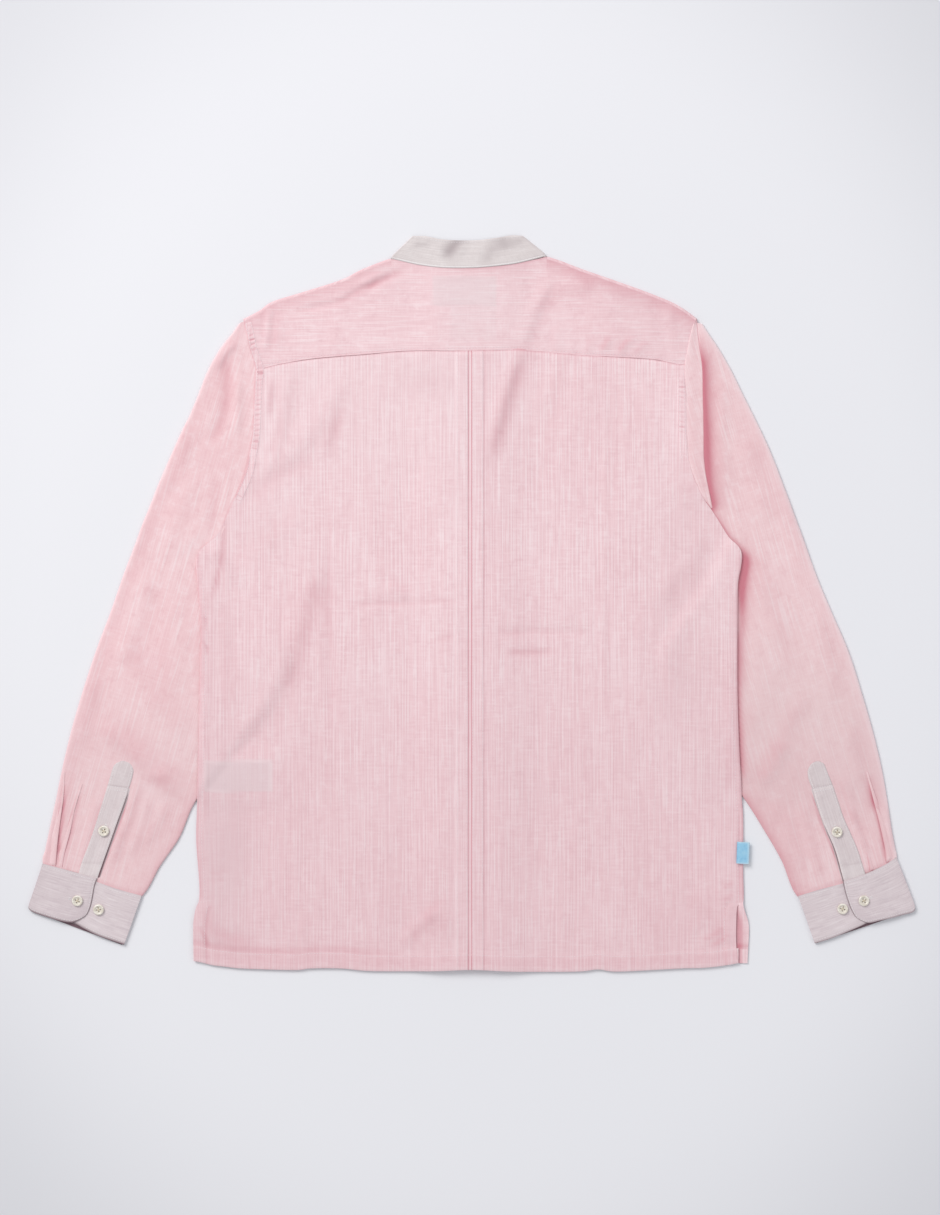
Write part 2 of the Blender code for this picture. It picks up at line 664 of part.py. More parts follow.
def sleeve_right():
    rows, shares = len(SLEEVE_RIGHT), SLEEVE_RIGHT_SHARES
    columns = 2 + len(shares)
    points = np.zeros((rows, columns, 6, 3))
    levels = np.concatenate([Z_LEVELS, [2 * LAYER, 2 * LAYER + CLOTH]])
    for r, (ix, iy, fx, fy, ox, oy) in enumerate(SLEEVE_RIGHT):
        if r <= DIVE_ROW:
            ix += SEAM
        line = [(ix, iy), (ix + (fx - ix) * 0.85, iy + (fy - iy) * 0.85)]
        line += [(fx + (ox - fx) * s, fy + (oy - fy) * s) for s in shares]
        for c, (x, y) in enumerate(line):
            points[r, c, :, 0], points[r, c, :, 1], points[r, c, :, 2] = x, y, levels
            points[r, c, 2:, 2] += pleat(rows, r, (5, 6), c)
    filled = np.zeros((rows - 1, columns - 1, 5), bool)
    filled[:, :, 0] = filled[:, :, 2] = True
    filled[:, -1, 1] = True  # the fold along the outer edge
    filled[DIVE_ROW:, 0, 1] = True  # the fold along the underarm seam
    filled[:HEAD_ROWS, 0:2, 4] = True  # the doubled sleeve head
    filled[:HEAD_ROWS, 1, 3] = True  # and its fold edge
    from_cells("sleeve_right", points, filled, "sleeve")


sleeve_left()
sleeve_right()


# ---------------------------------------------------------------- cuffs
def cuff(name, size):
    """A flat ring of cloth. Its free end lies over its other end where it buttons."""
    ot, it, ob, ib = (np.array(size[k]) for k in ("outer_top", "inner_top", "outer_bottom", "inner_bottom"))
    rows, columns = 4, len(CUFF_SHARES)
    points = np.zeros((rows, columns, 6, 3))
    apart = np.array([0, CLOTH, LAYER, LAYER + CLOTH, 2 * LAYER, 2 * LAYER + CLOTH])
    single = np.array([0, CLOTH, CLOTH + 0.1, CLOTH + 0.2, LAYER, LAYER + CLOTH])
    for r in range(rows):
        v = r / (rows - 1)
        for c, u in enumerate(CUFF_SHARES):
            flat = (ot * (1 - u) + it * u) * (1 - v) + (ob * (1 - u) + ib * u) * v
            points[r, c, :, :2] = flat
            points[r, c, :, 2] = single if c < OVERLAP_START else apart
            if c == OVERLAP_END:
                points[r, c, 4:, :2] = size["overlap_end"][r]
    filled = np.zeros((rows - 1, columns - 1, 5), bool)
    filled[:, :, 0] = True
    filled[:, 0, :] = True  # outer fold
    filled[:, :OVERLAP_END, 4] = True  # overlap
    filled[:, OVERLAP_START:, 2] = True  # underlap
    filled[:, -1, 1] = True  # inner fold
    from_cells(name, points, filled, "trim")


cuff("cuff_left", CUFF_LEFT)
cuff("cuff_right", CUFF_RIGHT)


# ---------------------------------------------------------------- sleeve plackets
def sleeve_placket(name, rows):
    flat = np.array([[(lx + (rx - lx) * u, ly + (ry - ly) * u) for u in (0, 0.5, 1)] for lx, ly, rx, ry in rows])
    slab(name, flat, 2 * LAYER, 2 * LAYER + CLOTH, "tower")


sleeve_placket("sleeve_placket_left", PLACKET_SLEEVE_LEFT)
sleeve_placket("sleeve_placket_right", PLACKET_SLEEVE_RIGHT)


# ---------------------------------------------------------------- labels
def rectangle(size, xs=()):
    x = sorted({*size["x"], *xs})
    y = size["y"][::-1]
    return np.array([[(a, b) for a in x] for b in y])


tab_flat = rectangle(SIDE_TAB)
edge_y, edge_top = BODY[::-1, -1, 1], back_top[::-1, -3:].max(axis=1)
tab_bottom = np.interp(tab_flat[:, :, 1], edge_y, edge_top) + GAP
slab("side_tab", tab_flat, tab_bottom, tab_bottom + LABEL, "tab")
care_bottom = OVER_SLEEVE + CLOTH + GAP
slab("care_label", rectangle(CARE_LABEL), care_bottom, care_bottom + LABEL, "label")
neck_flat = rectangle(NECK_LABEL, (-BACK_RAMP[1], BACK_RAMP[1]))
neck_top = LAYER + CENTRE_BACK * ramp(neck_flat[:, :, 0], BACK_RAMP) - GAP
slab("neck_label", neck_flat, neck_top - LABEL, neck_top, "label")


# ---------------------------------------------------------------- buttons
def button_mesh():
    """A four-hole button with a raised rim, turned about Z and then drilled."""
    radius, height = BUTTON_RADIUS, BUTTON_HEIGHT
    profile = [(0, 0), (radius * 0.86, 0), (radius, height * 0.3), (radius, height * 0.75), (radius * 0.93, height), (radius * 0.78, height), (radius * 0.68, height * 0.74), (0, height * 0.74)]
    bm = bmesh.new()
    points = [bm.verts.new((x * MM, 0, z * MM)) for x, z in profile]
    edges = [bm.edges.new(pair) for pair in zip(points, points[1:])]
    bmesh.ops.spin(bm, geom=points + edges, axis=(0, 0, 1), cent=(0, 0, 0), angle=2 * math.pi, steps=18, use_duplicate=False)
    bmesh.ops.remove_doubles(bm, verts=bm.verts, dist=1e-6)
    bmesh.ops.dissolve_limit(bm, angle_limit=0.001, verts=bm.verts, edges=bm.edges)
    bmesh.ops.recalc_face_normals(bm, faces=bm.faces)
    blank = bpy.data.meshes.new("button_blank")
    bm.to_mesh(blank)
    bm.free()
    drill = bmesh.new()
    for k in range(4):
        angle = math.pi / 4 + k * math.pi / 2
        made = bmesh.ops.create_cone(drill, cap_ends=True, segments=7, radius1=BUTTON_HOLE_RADIUS * MM, radius2=BUTTON_HOLE_RADIUS * MM, depth=4 * height * MM)
        offset = BUTTON_HOLE_OFFSET * MM * math.sqrt(2)
        bmesh.ops.translate(drill, verts=made["verts"], vec=(offset * math.cos(angle), offset * math.sin(angle), height / 2 * MM))
    holes = bpy.data.meshes.new("button_drill")
    drill.to_mesh(holes)
    drill.free()
    body = bpy.data.objects.new("button_blank", blank)
    cutter = bpy.data.objects.new("button_drill", holes)
    for obj in (body, cutter):
        bpy.context.scene.collection.objects.link(obj)
    cut = body.modifiers.new("holes", "BOOLEAN")
    cut.object, cut.operation, cut.solver = cutter, "DIFFERENCE", "EXACT"
    bpy.context.view_layer.update()
    graph = bpy.context.evaluated_depsgraph_get()
    made = bpy.data.meshes.new_from_object(body.evaluated_get(graph), depsgraph=graph)
    bpy.data.objects.remove(body, do_unlink=True)
    bpy.data.objects.remove(cutter, do_unlink=True)
    made.name = "button"
    made.materials.clear()
    made.materials.append(material("button", "button"))
    made.shade_smooth()
    made.set_sharp_from_angle(angle=math.radians(40))
    return made


BUTTON = button_mesh()


def button(name, x, y, z, turn):
    obj = bpy.data.objects.new(name, BUTTON)
    bpy.context.scene.collection.objects.link(obj)
    obj.location = (x * MM, y * MM, z * MM)
    obj.rotation_euler = (0, 0, math.radians(turn))
    return obj


for name, (x, y, below, turn) in BUTTONS.items():
    button(name, x, y, below + GAP, turn)
# The front buttons face the surface
for i in range(FRONT_BUTTON_COUNT):
    obj = button(f"button_front_{i + 1}", 0, FRONT_BUTTON_TOP - i * FRONT_BUTTON_STEP, BUTTON_HEIGHT, 15 * i)
    obj.rotation_euler = (math.pi, 0, math.radians(15 * i))
obj = button("button_collar", 0, COLLAR_BUTTON_Y, BUTTON_HEIGHT, 0)
obj.rotation_euler = (math.pi, 0, 0)

# ---------------------------------------------------------------- origin
# The tables count from the buttons' line. The whole shirt hangs from an empty that
# moves the origin to the middle of its outline.
origin = bpy.data.objects.new("shirt_origin", None)
bpy.context.scene.collection.objects.link(origin)
origin.location = (-MIDDLE[0] * MM, -MIDDLE[1] * MM, 0)
for obj in list(bpy.context.scene.objects):
    if obj is not origin:
        obj.parent = origin
bpy.context.view_layer.update()
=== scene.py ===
"""The looks of a long-sleeved guayabera shirt laid flat, face down.

Lengths in the tables are millimetres unless a table says otherwise. X runs across the
shirt and Y from the hem to the collar, both from the line of the front buttons. Places
that are seen from above are written in drawing units, where one unit is DRAWN mm of
cloth and Y runs down; seen() turns them into millimetres.
"""

import math

import bpy
import bmesh
import numpy as np
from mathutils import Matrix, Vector
from mathutils.bvhtree import BVHTree


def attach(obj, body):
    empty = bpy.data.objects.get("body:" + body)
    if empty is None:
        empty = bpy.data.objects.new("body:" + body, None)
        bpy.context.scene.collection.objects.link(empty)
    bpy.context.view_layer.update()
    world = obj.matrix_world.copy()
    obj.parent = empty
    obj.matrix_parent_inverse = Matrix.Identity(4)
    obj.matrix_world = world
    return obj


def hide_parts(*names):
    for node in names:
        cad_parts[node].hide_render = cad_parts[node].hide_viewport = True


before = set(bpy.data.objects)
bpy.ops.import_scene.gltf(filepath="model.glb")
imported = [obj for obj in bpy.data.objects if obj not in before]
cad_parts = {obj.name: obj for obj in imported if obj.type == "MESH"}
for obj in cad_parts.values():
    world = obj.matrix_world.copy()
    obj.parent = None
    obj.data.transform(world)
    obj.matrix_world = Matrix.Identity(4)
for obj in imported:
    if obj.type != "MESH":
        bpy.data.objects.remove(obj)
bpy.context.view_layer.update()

# ---------------------------------------------------------------- sizes
DRAWN = 1.05  # millimetres of cloth to one drawing unit
DRAWN_ORIGIN = (472.5, 603.0)
MIDDLE = (-1.45, 0.17)  # middle of the outline, which is the origin of the frame
WALL = 0.5  # thickness of the cloth
LAYER = 1.3  # from one layer that lies on another to the next
CENTRE_BACK = 3.8
BACK_RAMP = (75.0, 20.0)
TUCKS = ((-17.3, -4.7), (-1.1, 11.6))
STEP = 3.0  # spacing of the cloth's points


def seen(points):
    """Millimetres from drawing units."""
    p = np.asarray(points, dtype=float)
    out = p.copy()
    out[..., 0] = (p[..., 0] - DRAWN_ORIGIN[0]) * DRAWN
    out[..., 1] = (DRAWN_ORIGIN[1] - p[..., 1]) * DRAWN
    return out


def placed(points):
    """Metres in the frame from millimetres in the tables."""
    p = np.asarray(points, dtype=float)
    out = p.copy()
    out[..., 0] -= MIDDLE[0]
    out[..., 1] -= MIDDLE[1]
    return out * 0.001


# ---------------------------------------------------------------- curves
def smooth_curve(points, count, tension=0.5):
    """count points at even distances along a smooth curve through the given ones."""
    p = np.asarray(points, dtype=float)
    ends = np.concatenate([[2 * p[0] - p[1]], p, [2 * p[-1] - p[-2]]])
    out = []
    for i in range(len(p) - 1):
        a, b, c, d = ends[i : i + 4]
        t = np.linspace(0, 1, 12, endpoint=False)[:, None]
        m0, m1 = (c - a) * tension, (d - b) * tension
        out.append((2 * t**3 - 3 * t**2 + 1) * b + (t**3 - 2 * t**2 + t) * m0 + (3 * t**2 - 2 * t**3) * c + (t**3 - t**2) * m1)
    dense = np.concatenate(out + [p[-1:]])
    return resample(dense, count)


def resample(points, count):
    """count points at even distances along a run of straight lines."""
    p = np.asarray(points, dtype=float)
    far = np.concatenate([[0], np.cumsum(np.linalg.norm(np.diff(p, axis=0), axis=1))])
    want = np.linspace(0, far[-1], count)
    return np.stack([np.interp(want, far, p[:, k]) for k in range(p.shape[1])], axis=1)


def by_y(points, count=400):
    """x as a function of y for an edge whose y only falls."""
    curve = smooth_curve(points, count)
    order = np.argsort(curve[:, 1])
    return lambda y: np.interp(y, curve[order, 1], curve[order, 0])


def by_x(points, count=400):
    curve = smooth_curve(points, count)
    order = np.argsort(curve[:, 0])
    return lambda x: np.interp(x, curve[order, 0], curve[order, 1])


def nearest(x, y, line):
    """Distance, signed distance (positive on the left of the line's run), place along
    the line from 0 to 1, and length of the line, for every point."""
    line = np.asarray(line, dtype=float)
    lengths = np.linalg.norm(np.diff(line, axis=0), axis=1)
    starts = np.concatenate([[0], np.cumsum(lengths)])
    best = np.full(np.shape(x), 1e9)
    side = np.zeros(np.shape(x))
    place = np.zeros(np.shape(x))
    for k, (a, b) in enumerate(zip(line, line[1:])):
        if lengths[k] < 1e-9:
            continue
        d = (b - a) / lengths[k]
        along = np.clip((x - a[0]) * d[0] + (y - a[1]) * d[1], 0, lengths[k])
        rx, ry = x - a[0] - along * d[0], y - a[1] - along * d[1]
        away = np.hypot(rx, ry)
        closer = away < best
        best = np.where(closer, away, best)
        side = np.where(closer, np.sign(d[0] * ry - d[1] * rx), side)
        place = np.where(closer, (starts[k] + along) / starts[-1], place)
    return best, best * side, place, starts[-1]


def ease(value):
    v = np.clip(value, 0, 1)
    return v * v * (3 - 2 * v)


# ---------------------------------------------------------------- unevenness
def ripple(x, y, size, seed, stretch=1.0, turn=0.0):
    """Smooth waves of about this size, between -1 and 1, the same on each run."""
    table = np.random.default_rng(seed).uniform(-1, 1, (64, 64))
    c, s = math.cos(turn), math.sin(turn)
    u = (x * c + y * s) / size + 31.7
    v = (-x * s + y * c) / (size * stretch) + 17.3
    iu, iv = np.floor(u).astype(int), np.floor(v).astype(int)
    fu, fv = u - iu, v - iv
    fu, fv = fu**3 * (6 * fu**2 - 15 * fu + 10), fv**3 * (6 * fv**2 - 15 * fv + 10)
    a, b = table[iu % 64, iv % 64], table[(iu + 1) % 64, iv % 64]
    c2, d = table[iu % 64, (iv + 1) % 64], table[(iu + 1) % 64, (iv + 1) % 64]
    return (a * (1 - fu) + b * fu) * (1 - fv) + (c2 * (1 - fu) + d * fu) * fv


def crease_field(x, y, table):
    """Rise and painted shade from a table of creases. Each row has the line in drawing units, the
    widths on its left and right (mm), its rise (mm, negative for a trough), how much painted shade it
    lays on the colour, and on which side of the line that shade lies (-1, 0 or 1)."""
    rise, deep = np.zeros(np.shape(x)), np.zeros(np.shape(x))
    for number, (line, left, right, height, colour, side) in enumerate(table):
        p = seen(line)
        curve = smooth_curve(p, 6 * len(p)) if len(p) > 2 else p
        away, signed, place, length = nearest(x, y, curve)
        width = np.where(signed > 0, left, right)
        uneven = 1 + 0.28 * ripple(place * length, place * 0 + number * 7.3, 23.0, 40 + number)
        ends = ease(place * length / (0.22 * length + 4)) * ease((1 - place) * length / (0.22 * length + 4))
        beyond = np.exp(-((away / width) ** 2)) * ends * uneven
        rise += height * beyond
        # painted shade along the crease, moved to its side
        if colour:
            shade_width = max(left, right) * 0.9
            moved = signed - side * shade_width * 0.7
            deep += colour * np.exp(-((moved / shade_width) ** 2)) * ends * uneven * (away < 4 * shade_width)
    return rise, deep


# ---------------------------------------------------------------- meshes
class Cloth:
    """Points, faces, weave coordinates and tints of one piece, gathered grid by grid."""

    def __init__(self, name):
        self.name = name
        self.points, self.faces, self.weave, self.tint = [], [], [], []
        self.count = 0

    def grid(self, points, weave, tint=None, keep=None, flip=False):
        """A block of rows and columns of points, with the outside on its left when
        rows run down and columns run right as seen from outside."""
        rows, columns = points.shape[:2]
        self.points.append(points.reshape(-1, 3))
        self.weave.append(weave.reshape(-1, 2))
        if tint is None:
            tint = np.zeros((rows, columns, 3))
        self.tint.append(tint.reshape(-1, 3))
        index = np.arange(rows * columns).reshape(rows, columns) + self.count
        quad = np.stack([index[:-1, :-1], index[1:, :-1], index[1:, 1:], index[:-1, 1:]], axis=-1)
        if flip:
            quad = quad[..., ::-1]
        quad = quad.reshape(-1, 4) if keep is None else quad[keep]
        self.faces.append(quad)
        self.count += rows * columns
        return self

    def make(self, weld=0.0, wall=WALL, inner=True):
        points = placed(np.concatenate(self.points))
        faces = np.concatenate(self.faces)
        weave = np.concatenate(self.weave) * 0.001
        tint = np.concatenate(self.tint)
        mesh = bpy.data.meshes.new(self.name)
        mesh.vertices.add(len(points))
        mesh.vertices.foreach_set("co", points.ravel())
        mesh.loops.add(faces.size)
        mesh.loops.foreach_set("vertex_index", faces.ravel().astype(np.int32))
        mesh.polygons.add(len(faces))
        mesh.polygons.foreach_set("loop_start", np.arange(0, faces.size, 4, dtype=np.int32))
        mesh.update(calc_edges=True)
        layer = mesh.uv_layers.new(name="weave")
        layer.uv.foreach_set("vector", weave[faces.ravel()].ravel())
        # tint: red is the deep colour, mostly painted shade; green the pale colour, mostly painted highlight; blue the
        # grey, for what shows through the cloth and for broad painted shade
        colour = mesh.attributes.new("tint", "FLOAT_COLOR", "POINT")
        rgba = np.concatenate([np.clip(tint, 0, 1), np.ones((len(tint), 1))], axis=1)
        colour.data.foreach_set("color", rgba.ravel())
        mesh.validate()
        if weld:
            bm = bmesh.new()
            bm.from_mesh(mesh)
            bmesh.ops.remove_doubles(bm, verts=bm.verts, dist=weld * 0.001)
            loose = [v for v in bm.verts if not v.link_faces]
            bmesh.ops.delete(bm, geom=loose, context="VERTS")
            bm.to_mesh(mesh)
            bm.free()
        obj = bpy.data.objects.new(self.name, mesh)
        bpy.context.scene.collection.objects.link(obj)
        if wall:
            solid = obj.modifiers.new("wall", "SOLIDIFY")
            solid.thickness, solid.offset = wall * 0.001, -1
            apply_modifiers(obj)
        obj.data.shade_smooth()
        obj.data.set_sharp_from_angle(angle=math.radians(55))
        return obj


def apply_modifiers(obj):
    bpy.context.view_layer.update()
    graph = bpy.context.evaluated_depsgraph_get()
    made = bpy.data.meshes.new_from_object(obj.evaluated_get(graph), preserve_all_data_layers=True, depsgraph=graph)
    old = obj.data
    obj.modifiers.clear()
    obj.data = made
    made.name = obj.name
    bpy.data.meshes.remove(old)


def raw_mesh(name, points, faces, smooth=True):
    """An object from millimetre points and faces of any size."""
    mesh = bpy.data.meshes.new(name)
    mesh.from_pydata([tuple(p) for p in placed(np.asarray(points))], [], faces)
    mesh.validate()
    obj = bpy.data.objects.new(name, mesh)
    bpy.context.scene.collection.objects.link(obj)
    if smooth:
        mesh.shade_smooth()
    return obj


# ---------------------------------------------------------------- finishes
class Tree:
    """A material's nodes, wired by short calls."""

    def __init__(self, name):
        self.mat = bpy.data.materials.new(name)
        self.mat.use_nodes = True
        self.nodes, self.links = self.mat.node_tree.nodes, self.mat.node_tree.links
        self.shader = self.nodes["Principled BSDF"]

    def put(self, value, socket):
        if isinstance(value, bpy.types.NodeSocket):
            self.links.new(value, socket)
        else:
            socket.default_value = value

    def math(self, kind, a, b=0.0):
        node = self.nodes.new("ShaderNodeMath")
        node.operation = kind
        self.put(a, node.inputs[0])
        self.put(b, node.inputs[1])
        return node.outputs[0]

    def weave(self):
        """Across and along the threads, in metres."""
        node = self.nodes.new("ShaderNodeUVMap")
        node.uv_map = "weave"
        split = self.nodes.new("ShaderNodeSeparateXYZ")
        self.links.new(node.outputs[0], split.inputs[0])
        return split.outputs[0], split.outputs[1]

    def place(self):
        node = self.nodes.new("ShaderNodeTexCoord")
        split = self.nodes.new("ShaderNodeSeparateXYZ")
        self.links.new(node.outputs["Object"], split.inputs[0])
        return split.outputs[0], split.outputs[1]

    def noise(self, across, along, per_across, per_along, shift=0.0, detail=1.0, rough=0.5):
        join = self.nodes.new("ShaderNodeCombineXYZ")
        self.put(self.math("MULTIPLY_ADD", across, per_across), join.inputs[0])
        join.inputs[0].links[0].from_node.inputs[2].default_value = shift
        self.put(self.math("MULTIPLY", along, per_along), join.inputs[1])
        node = self.nodes.new("ShaderNodeTexNoise")
        node.noise_dimensions = "2D"
        node.inputs["Scale"].default_value = 1.0
        node.inputs["Detail"].default_value = detail
        node.inputs["Roughness"].default_value = rough
        self.links.new(join.outputs[0], node.inputs["Vector"])
        return node.outputs[0]

    def between(self, value, low, high, out=1.0, start=0.0):
        node = self.nodes.new("ShaderNodeMapRange")
        node.interpolation_type = "SMOOTHSTEP"
        self.put(value, node.inputs["Value"])
        for key, number in (("From Min", low), ("From Max", high), ("To Min", start), ("To Max", out)):
            node.inputs[key].default_value = number
        return node.outputs[0]

    def mix(self, factor, a, b):
        node = self.nodes.new("ShaderNodeMix")
        node.data_type = "RGBA"
        self.put(factor, node.inputs["Factor"])
        self.put(a if isinstance(a, bpy.types.NodeSocket) else (*a, 1), node.inputs["A"])
        self.put(b if isinstance(b, bpy.types.NodeSocket) else (*b, 1), node.inputs["B"])
        return node.outputs["Result"]

    def tint(self):
        node = self.nodes.new("ShaderNodeAttribute")
        node.attribute_name = "tint"
        split = self.nodes.new("ShaderNodeSeparateColor")
        self.links.new(node.outputs["Color"], split.inputs[0])
        return split.outputs[0], split.outputs[1], split.outputs[2]

    def bump(self, height, strength, distance):
        node = self.nodes.new("ShaderNodeBump")
        node.inputs["Strength"].default_value = strength
        node.inputs["Distance"].default_value = distance
        self.links.new(height, node.inputs["Height"])
        self.links.new(node.outputs[0], self.shader.inputs["Normal"])

    def surface(self, colour, rough=0.9, sheen=0.0, specular=0.3):
        self.put(colour, self.shader.inputs["Base Color"])
        self.put(rough, self.shader.inputs["Roughness"])
        self.shader.inputs["Metallic"].default_value = 0.0
        self.shader.inputs["Specular IOR Level"].default_value = specular
        if sheen:
            self.shader.inputs["Sheen Weight"].default_value = sheen
            self.shader.inputs["Sheen Roughness"].default_value = 0.45


# Slub cotton. Colours are linear. base is the cloth, light and dark its lighter and darker yarns; deep
# is the colour of painted shade in creases, folds and seams, pale the colour of painted highlight and of
# pale lines, grey the colour of what shows through and of broad painted shade. stripe: spacing of the
# stronger yarns (m), how far the light and the dark ones show; fine: yarns to a metre, runs to a metre,
# light, dark; slub: the same for the thick pale yarns; weft: the crossing yarns.
CLOTHS = {
    "body": dict(
        base=(0.905, 0.640, 0.668), light=(0.975, 0.790, 0.812), dark=(0.800, 0.520, 0.556),
        deep=(0.640, 0.235, 0.285), pale=(0.960, 0.800, 0.815), grey=(0.790, 0.680, 0.695),
        stripe=(0.0036, 0.68, 0.46), fine=(1250, 9, 0.58, 0.46), slub=(620, 22, 0.50), weft=(55, 430, 0.34, 0.28),
        cloud=0.20, sheen=0.15,
    ),
    "yoke": dict(
        base=(0.905, 0.640, 0.668), light=(0.975, 0.790, 0.812), dark=(0.800, 0.520, 0.556),
        deep=(0.640, 0.235, 0.285), pale=(0.960, 0.800, 0.815), grey=(0.790, 0.680, 0.695),
        stripe=(0.0047, 0.12, 0.08), fine=(1050, 24, 0.56, 0.42), slub=(560, 26, 0.50), weft=(70, 520, 0.24, 0.20),
        cloud=0.26, mottle=0.46, sheen=0.15,
    ),
    "sleeve": dict(
        base=(0.918, 0.636, 0.656), light=(0.975, 0.785, 0.805), dark=(0.825, 0.515, 0.545),
        deep=(0.640, 0.225, 0.275), pale=(0.965, 0.800, 0.815), grey=(0.770, 0.610, 0.612),
        stripe=(0.0046, 0.05, 0.05), fine=(880, 12, 0.36, 0.28), slub=(440, 15, 0.50), weft=(60, 450, 0.22, 0.18),
        cloud=0.34, mottle=0.50, sheen=0.15,
    ),
    "trim": dict(
        base=(0.730, 0.632, 0.650), light=(0.830, 0.745, 0.758), dark=(0.610, 0.515, 0.545),
        deep=(0.200, 0.125, 0.145), pale=(0.860, 0.790, 0.795), grey=(0.690, 0.620, 0.600),
        stripe=(0.0024, 0.16, 0.14), fine=(980, 36, 0.56, 0.52), slub=(900, 60, 0.30), weft=(60, 900, 0.10, 0.10),
        cloud=0.42, sheen=0.10,
    ),
    "collar": dict(
        base=(0.745, 0.678, 0.668), light=(0.835, 0.778, 0.771), dark=(0.620, 0.553, 0.550),
        deep=(0.400, 0.335, 0.345), pale=(0.960, 0.925, 0.915), grey=(0.660, 0.610, 0.600),
        stripe=(0.0027, 0.10, 0.10), fine=(1200, 30, 0.42, 0.36), slub=(900, 60, 0.20), weft=(160, 900, 0.26, 0.26),
        cloud=0.22, sheen=0.10,
    ),
    "tower": dict(
        base=(0.722, 0.630, 0.637), light=(0.810, 0.725, 0.728), dark=(0.620, 0.520, 0.528),
        deep=(0.200, 0.095, 0.115), pale=(0.880, 0.810, 0.800), grey=(0.650, 0.580, 0.575),
        stripe=(0.0031, 0.18, 0.18), fine=(950, 14, 0.30, 0.34), slub=(560, 34, 0.20), weft=(50, 800, 0.14, 0.14),
        cloud=0.28, sheen=0.10,
    ),
}


def cloth_material(name, kind, seed=0.0):
    look = CLOTHS[kind]
    t = Tree(name)
    across, along = t.weave()
    deep, pale, grey = t.tint()
    # stronger yarns at nearly even distances, which come and go along their length
    spacing, bright, dull = look["stripe"]
    drift = t.noise(across, along, 90, 5, 3.1 + seed, 1.0)
    turn = t.math("ADD", t.math("MULTIPLY", across, 2 * math.pi / spacing), t.math("MULTIPLY", drift, 9.0))
    line = t.math("SINE", turn)
    shown = t.between(t.noise(across, along, 210, 13, 41.0 + seed, 1.0), 0.34, 0.66)
    colour = t.mix(t.math("MULTIPLY", t.between(line, 0.15, 1.0, bright), shown), look["base"], look["light"])
    colour = t.mix(t.math("MULTIPLY", t.between(line, -0.2, -1.0, dull), shown), colour, look["dark"])
    count, run, bright, dark = look["fine"]
    fine = t.noise(across, along, count, run, 57.0 + seed, 1.0)
    colour = t.mix(t.between(fine, 0.50, 0.78, bright), colour, look["light"])
    colour = t.mix(t.between(fine, 0.50, 0.22, dark), colour, look["dark"])
    per, runs, show = look["slub"]
    slub = t.noise(across, along, per, runs, 23.0 + seed, 0.0)
    thick = t.between(slub, 0.66, 0.78, show)
    colour = t.mix(thick, colour, look["pale"])
    few, many, shown_weft, shade = look["weft"]
    cross = t.noise(across, along, few, many, 11.0 + seed, 1.0)
    colour = t.mix(t.between(cross, 0.54, 0.82, shown_weft), colour, look["light"])
    colour = t.mix(t.between(cross, 0.46, 0.18, shade), colour, look["dark"])
    cloud = t.noise(across, along, 13, 8, 71.0 + seed, 2.0)
    colour = t.mix(t.between(cloud, 0.50, 0.85, look["cloud"]), colour, look["light"])
    colour = t.mix(t.between(cloud, 0.50, 0.15, look["cloud"]), colour, look["dark"])
    mottle = t.noise(across, along, 110, 80, 91.0 + seed, 3.0, 0.65)
    colour = t.mix(t.between(mottle, 0.52, 0.78, look.get("mottle", 0.34)), colour, look["light"])
    colour = t.mix(t.between(mottle, 0.48, 0.22, look.get("mottle", 0.34)), colour, look["dark"])
    # the tint mixes in grey for what shows through and for broad painted shade, pale for painted highlight and pale
    # lines, and deep for painted shade
    colour = t.mix(grey, colour, look["grey"])
    colour = t.mix(pale, colour, look["pale"])
    colour = t.mix(deep, colour, look["deep"])
    # threads over and under each other, with the thick yarns standing proud
    over = t.math("SINE", t.math("MULTIPLY", across, 2 * math.pi / 0.0006))
    under = t.math("SINE", t.math("MULTIPLY", along, 2 * math.pi / 0.0006))
    height = t.math("ADD", t.math("MULTIPLY", t.math("MULTIPLY", over, under), 0.16), t.math("MULTIPLY", fine, 1.2))
    height = t.math("ADD", height, t.math("MULTIPLY", thick, 0.8))
    height = t.math("ADD", height, t.math("MULTIPLY", cross, 0.7))
    t.bump(height, 0.35, 0.00030)
    t.surface(colour, t.between(slub, 0.30, 0.75, 0.80, 0.93), look["sheen"], 0.25)
    return t.mat


def thread_material(name, base, light):
    t = Tree(name)
    x, y = t.place()
    wave = t.noise(x, y, 1400, 1400, 5.0, 1.0)
    t.surface(t.mix(t.between(wave, 0.3, 0.7), base, light), t.between(wave, 0.3, 0.7, 0.65, 0.8), 0.0, 0.3)
    t.bump(wave, 0.4, 0.0002)
    return t.mat


def button_material():
    t = Tree("ivory_shell")
    x, y = t.place()
    cloud = t.noise(x, y, 260, 420, 1.0, 2.0)
    speck = t.noise(x, y, 1500, 1500, 9.0, 1.0)
    colour = t.mix(t.between(cloud, 0.30, 0.72), (0.745, 0.682, 0.580), (0.905, 0.862, 0.780))
    colour = t.mix(t.between(speck, 0.62, 0.80, 0.35), colour, (0.72, 0.66, 0.58))
    t.surface(colour, t.between(cloud, 0.3, 0.7, 0.30, 0.20), 0.0, 0.5)
    t.shader.inputs["Coat Weight"].default_value = 0.35
    t.shader.inputs["Coat Roughness"].default_value = 0.12
    t.bump(cloud, 0.15, 0.0003)
    return t.mat


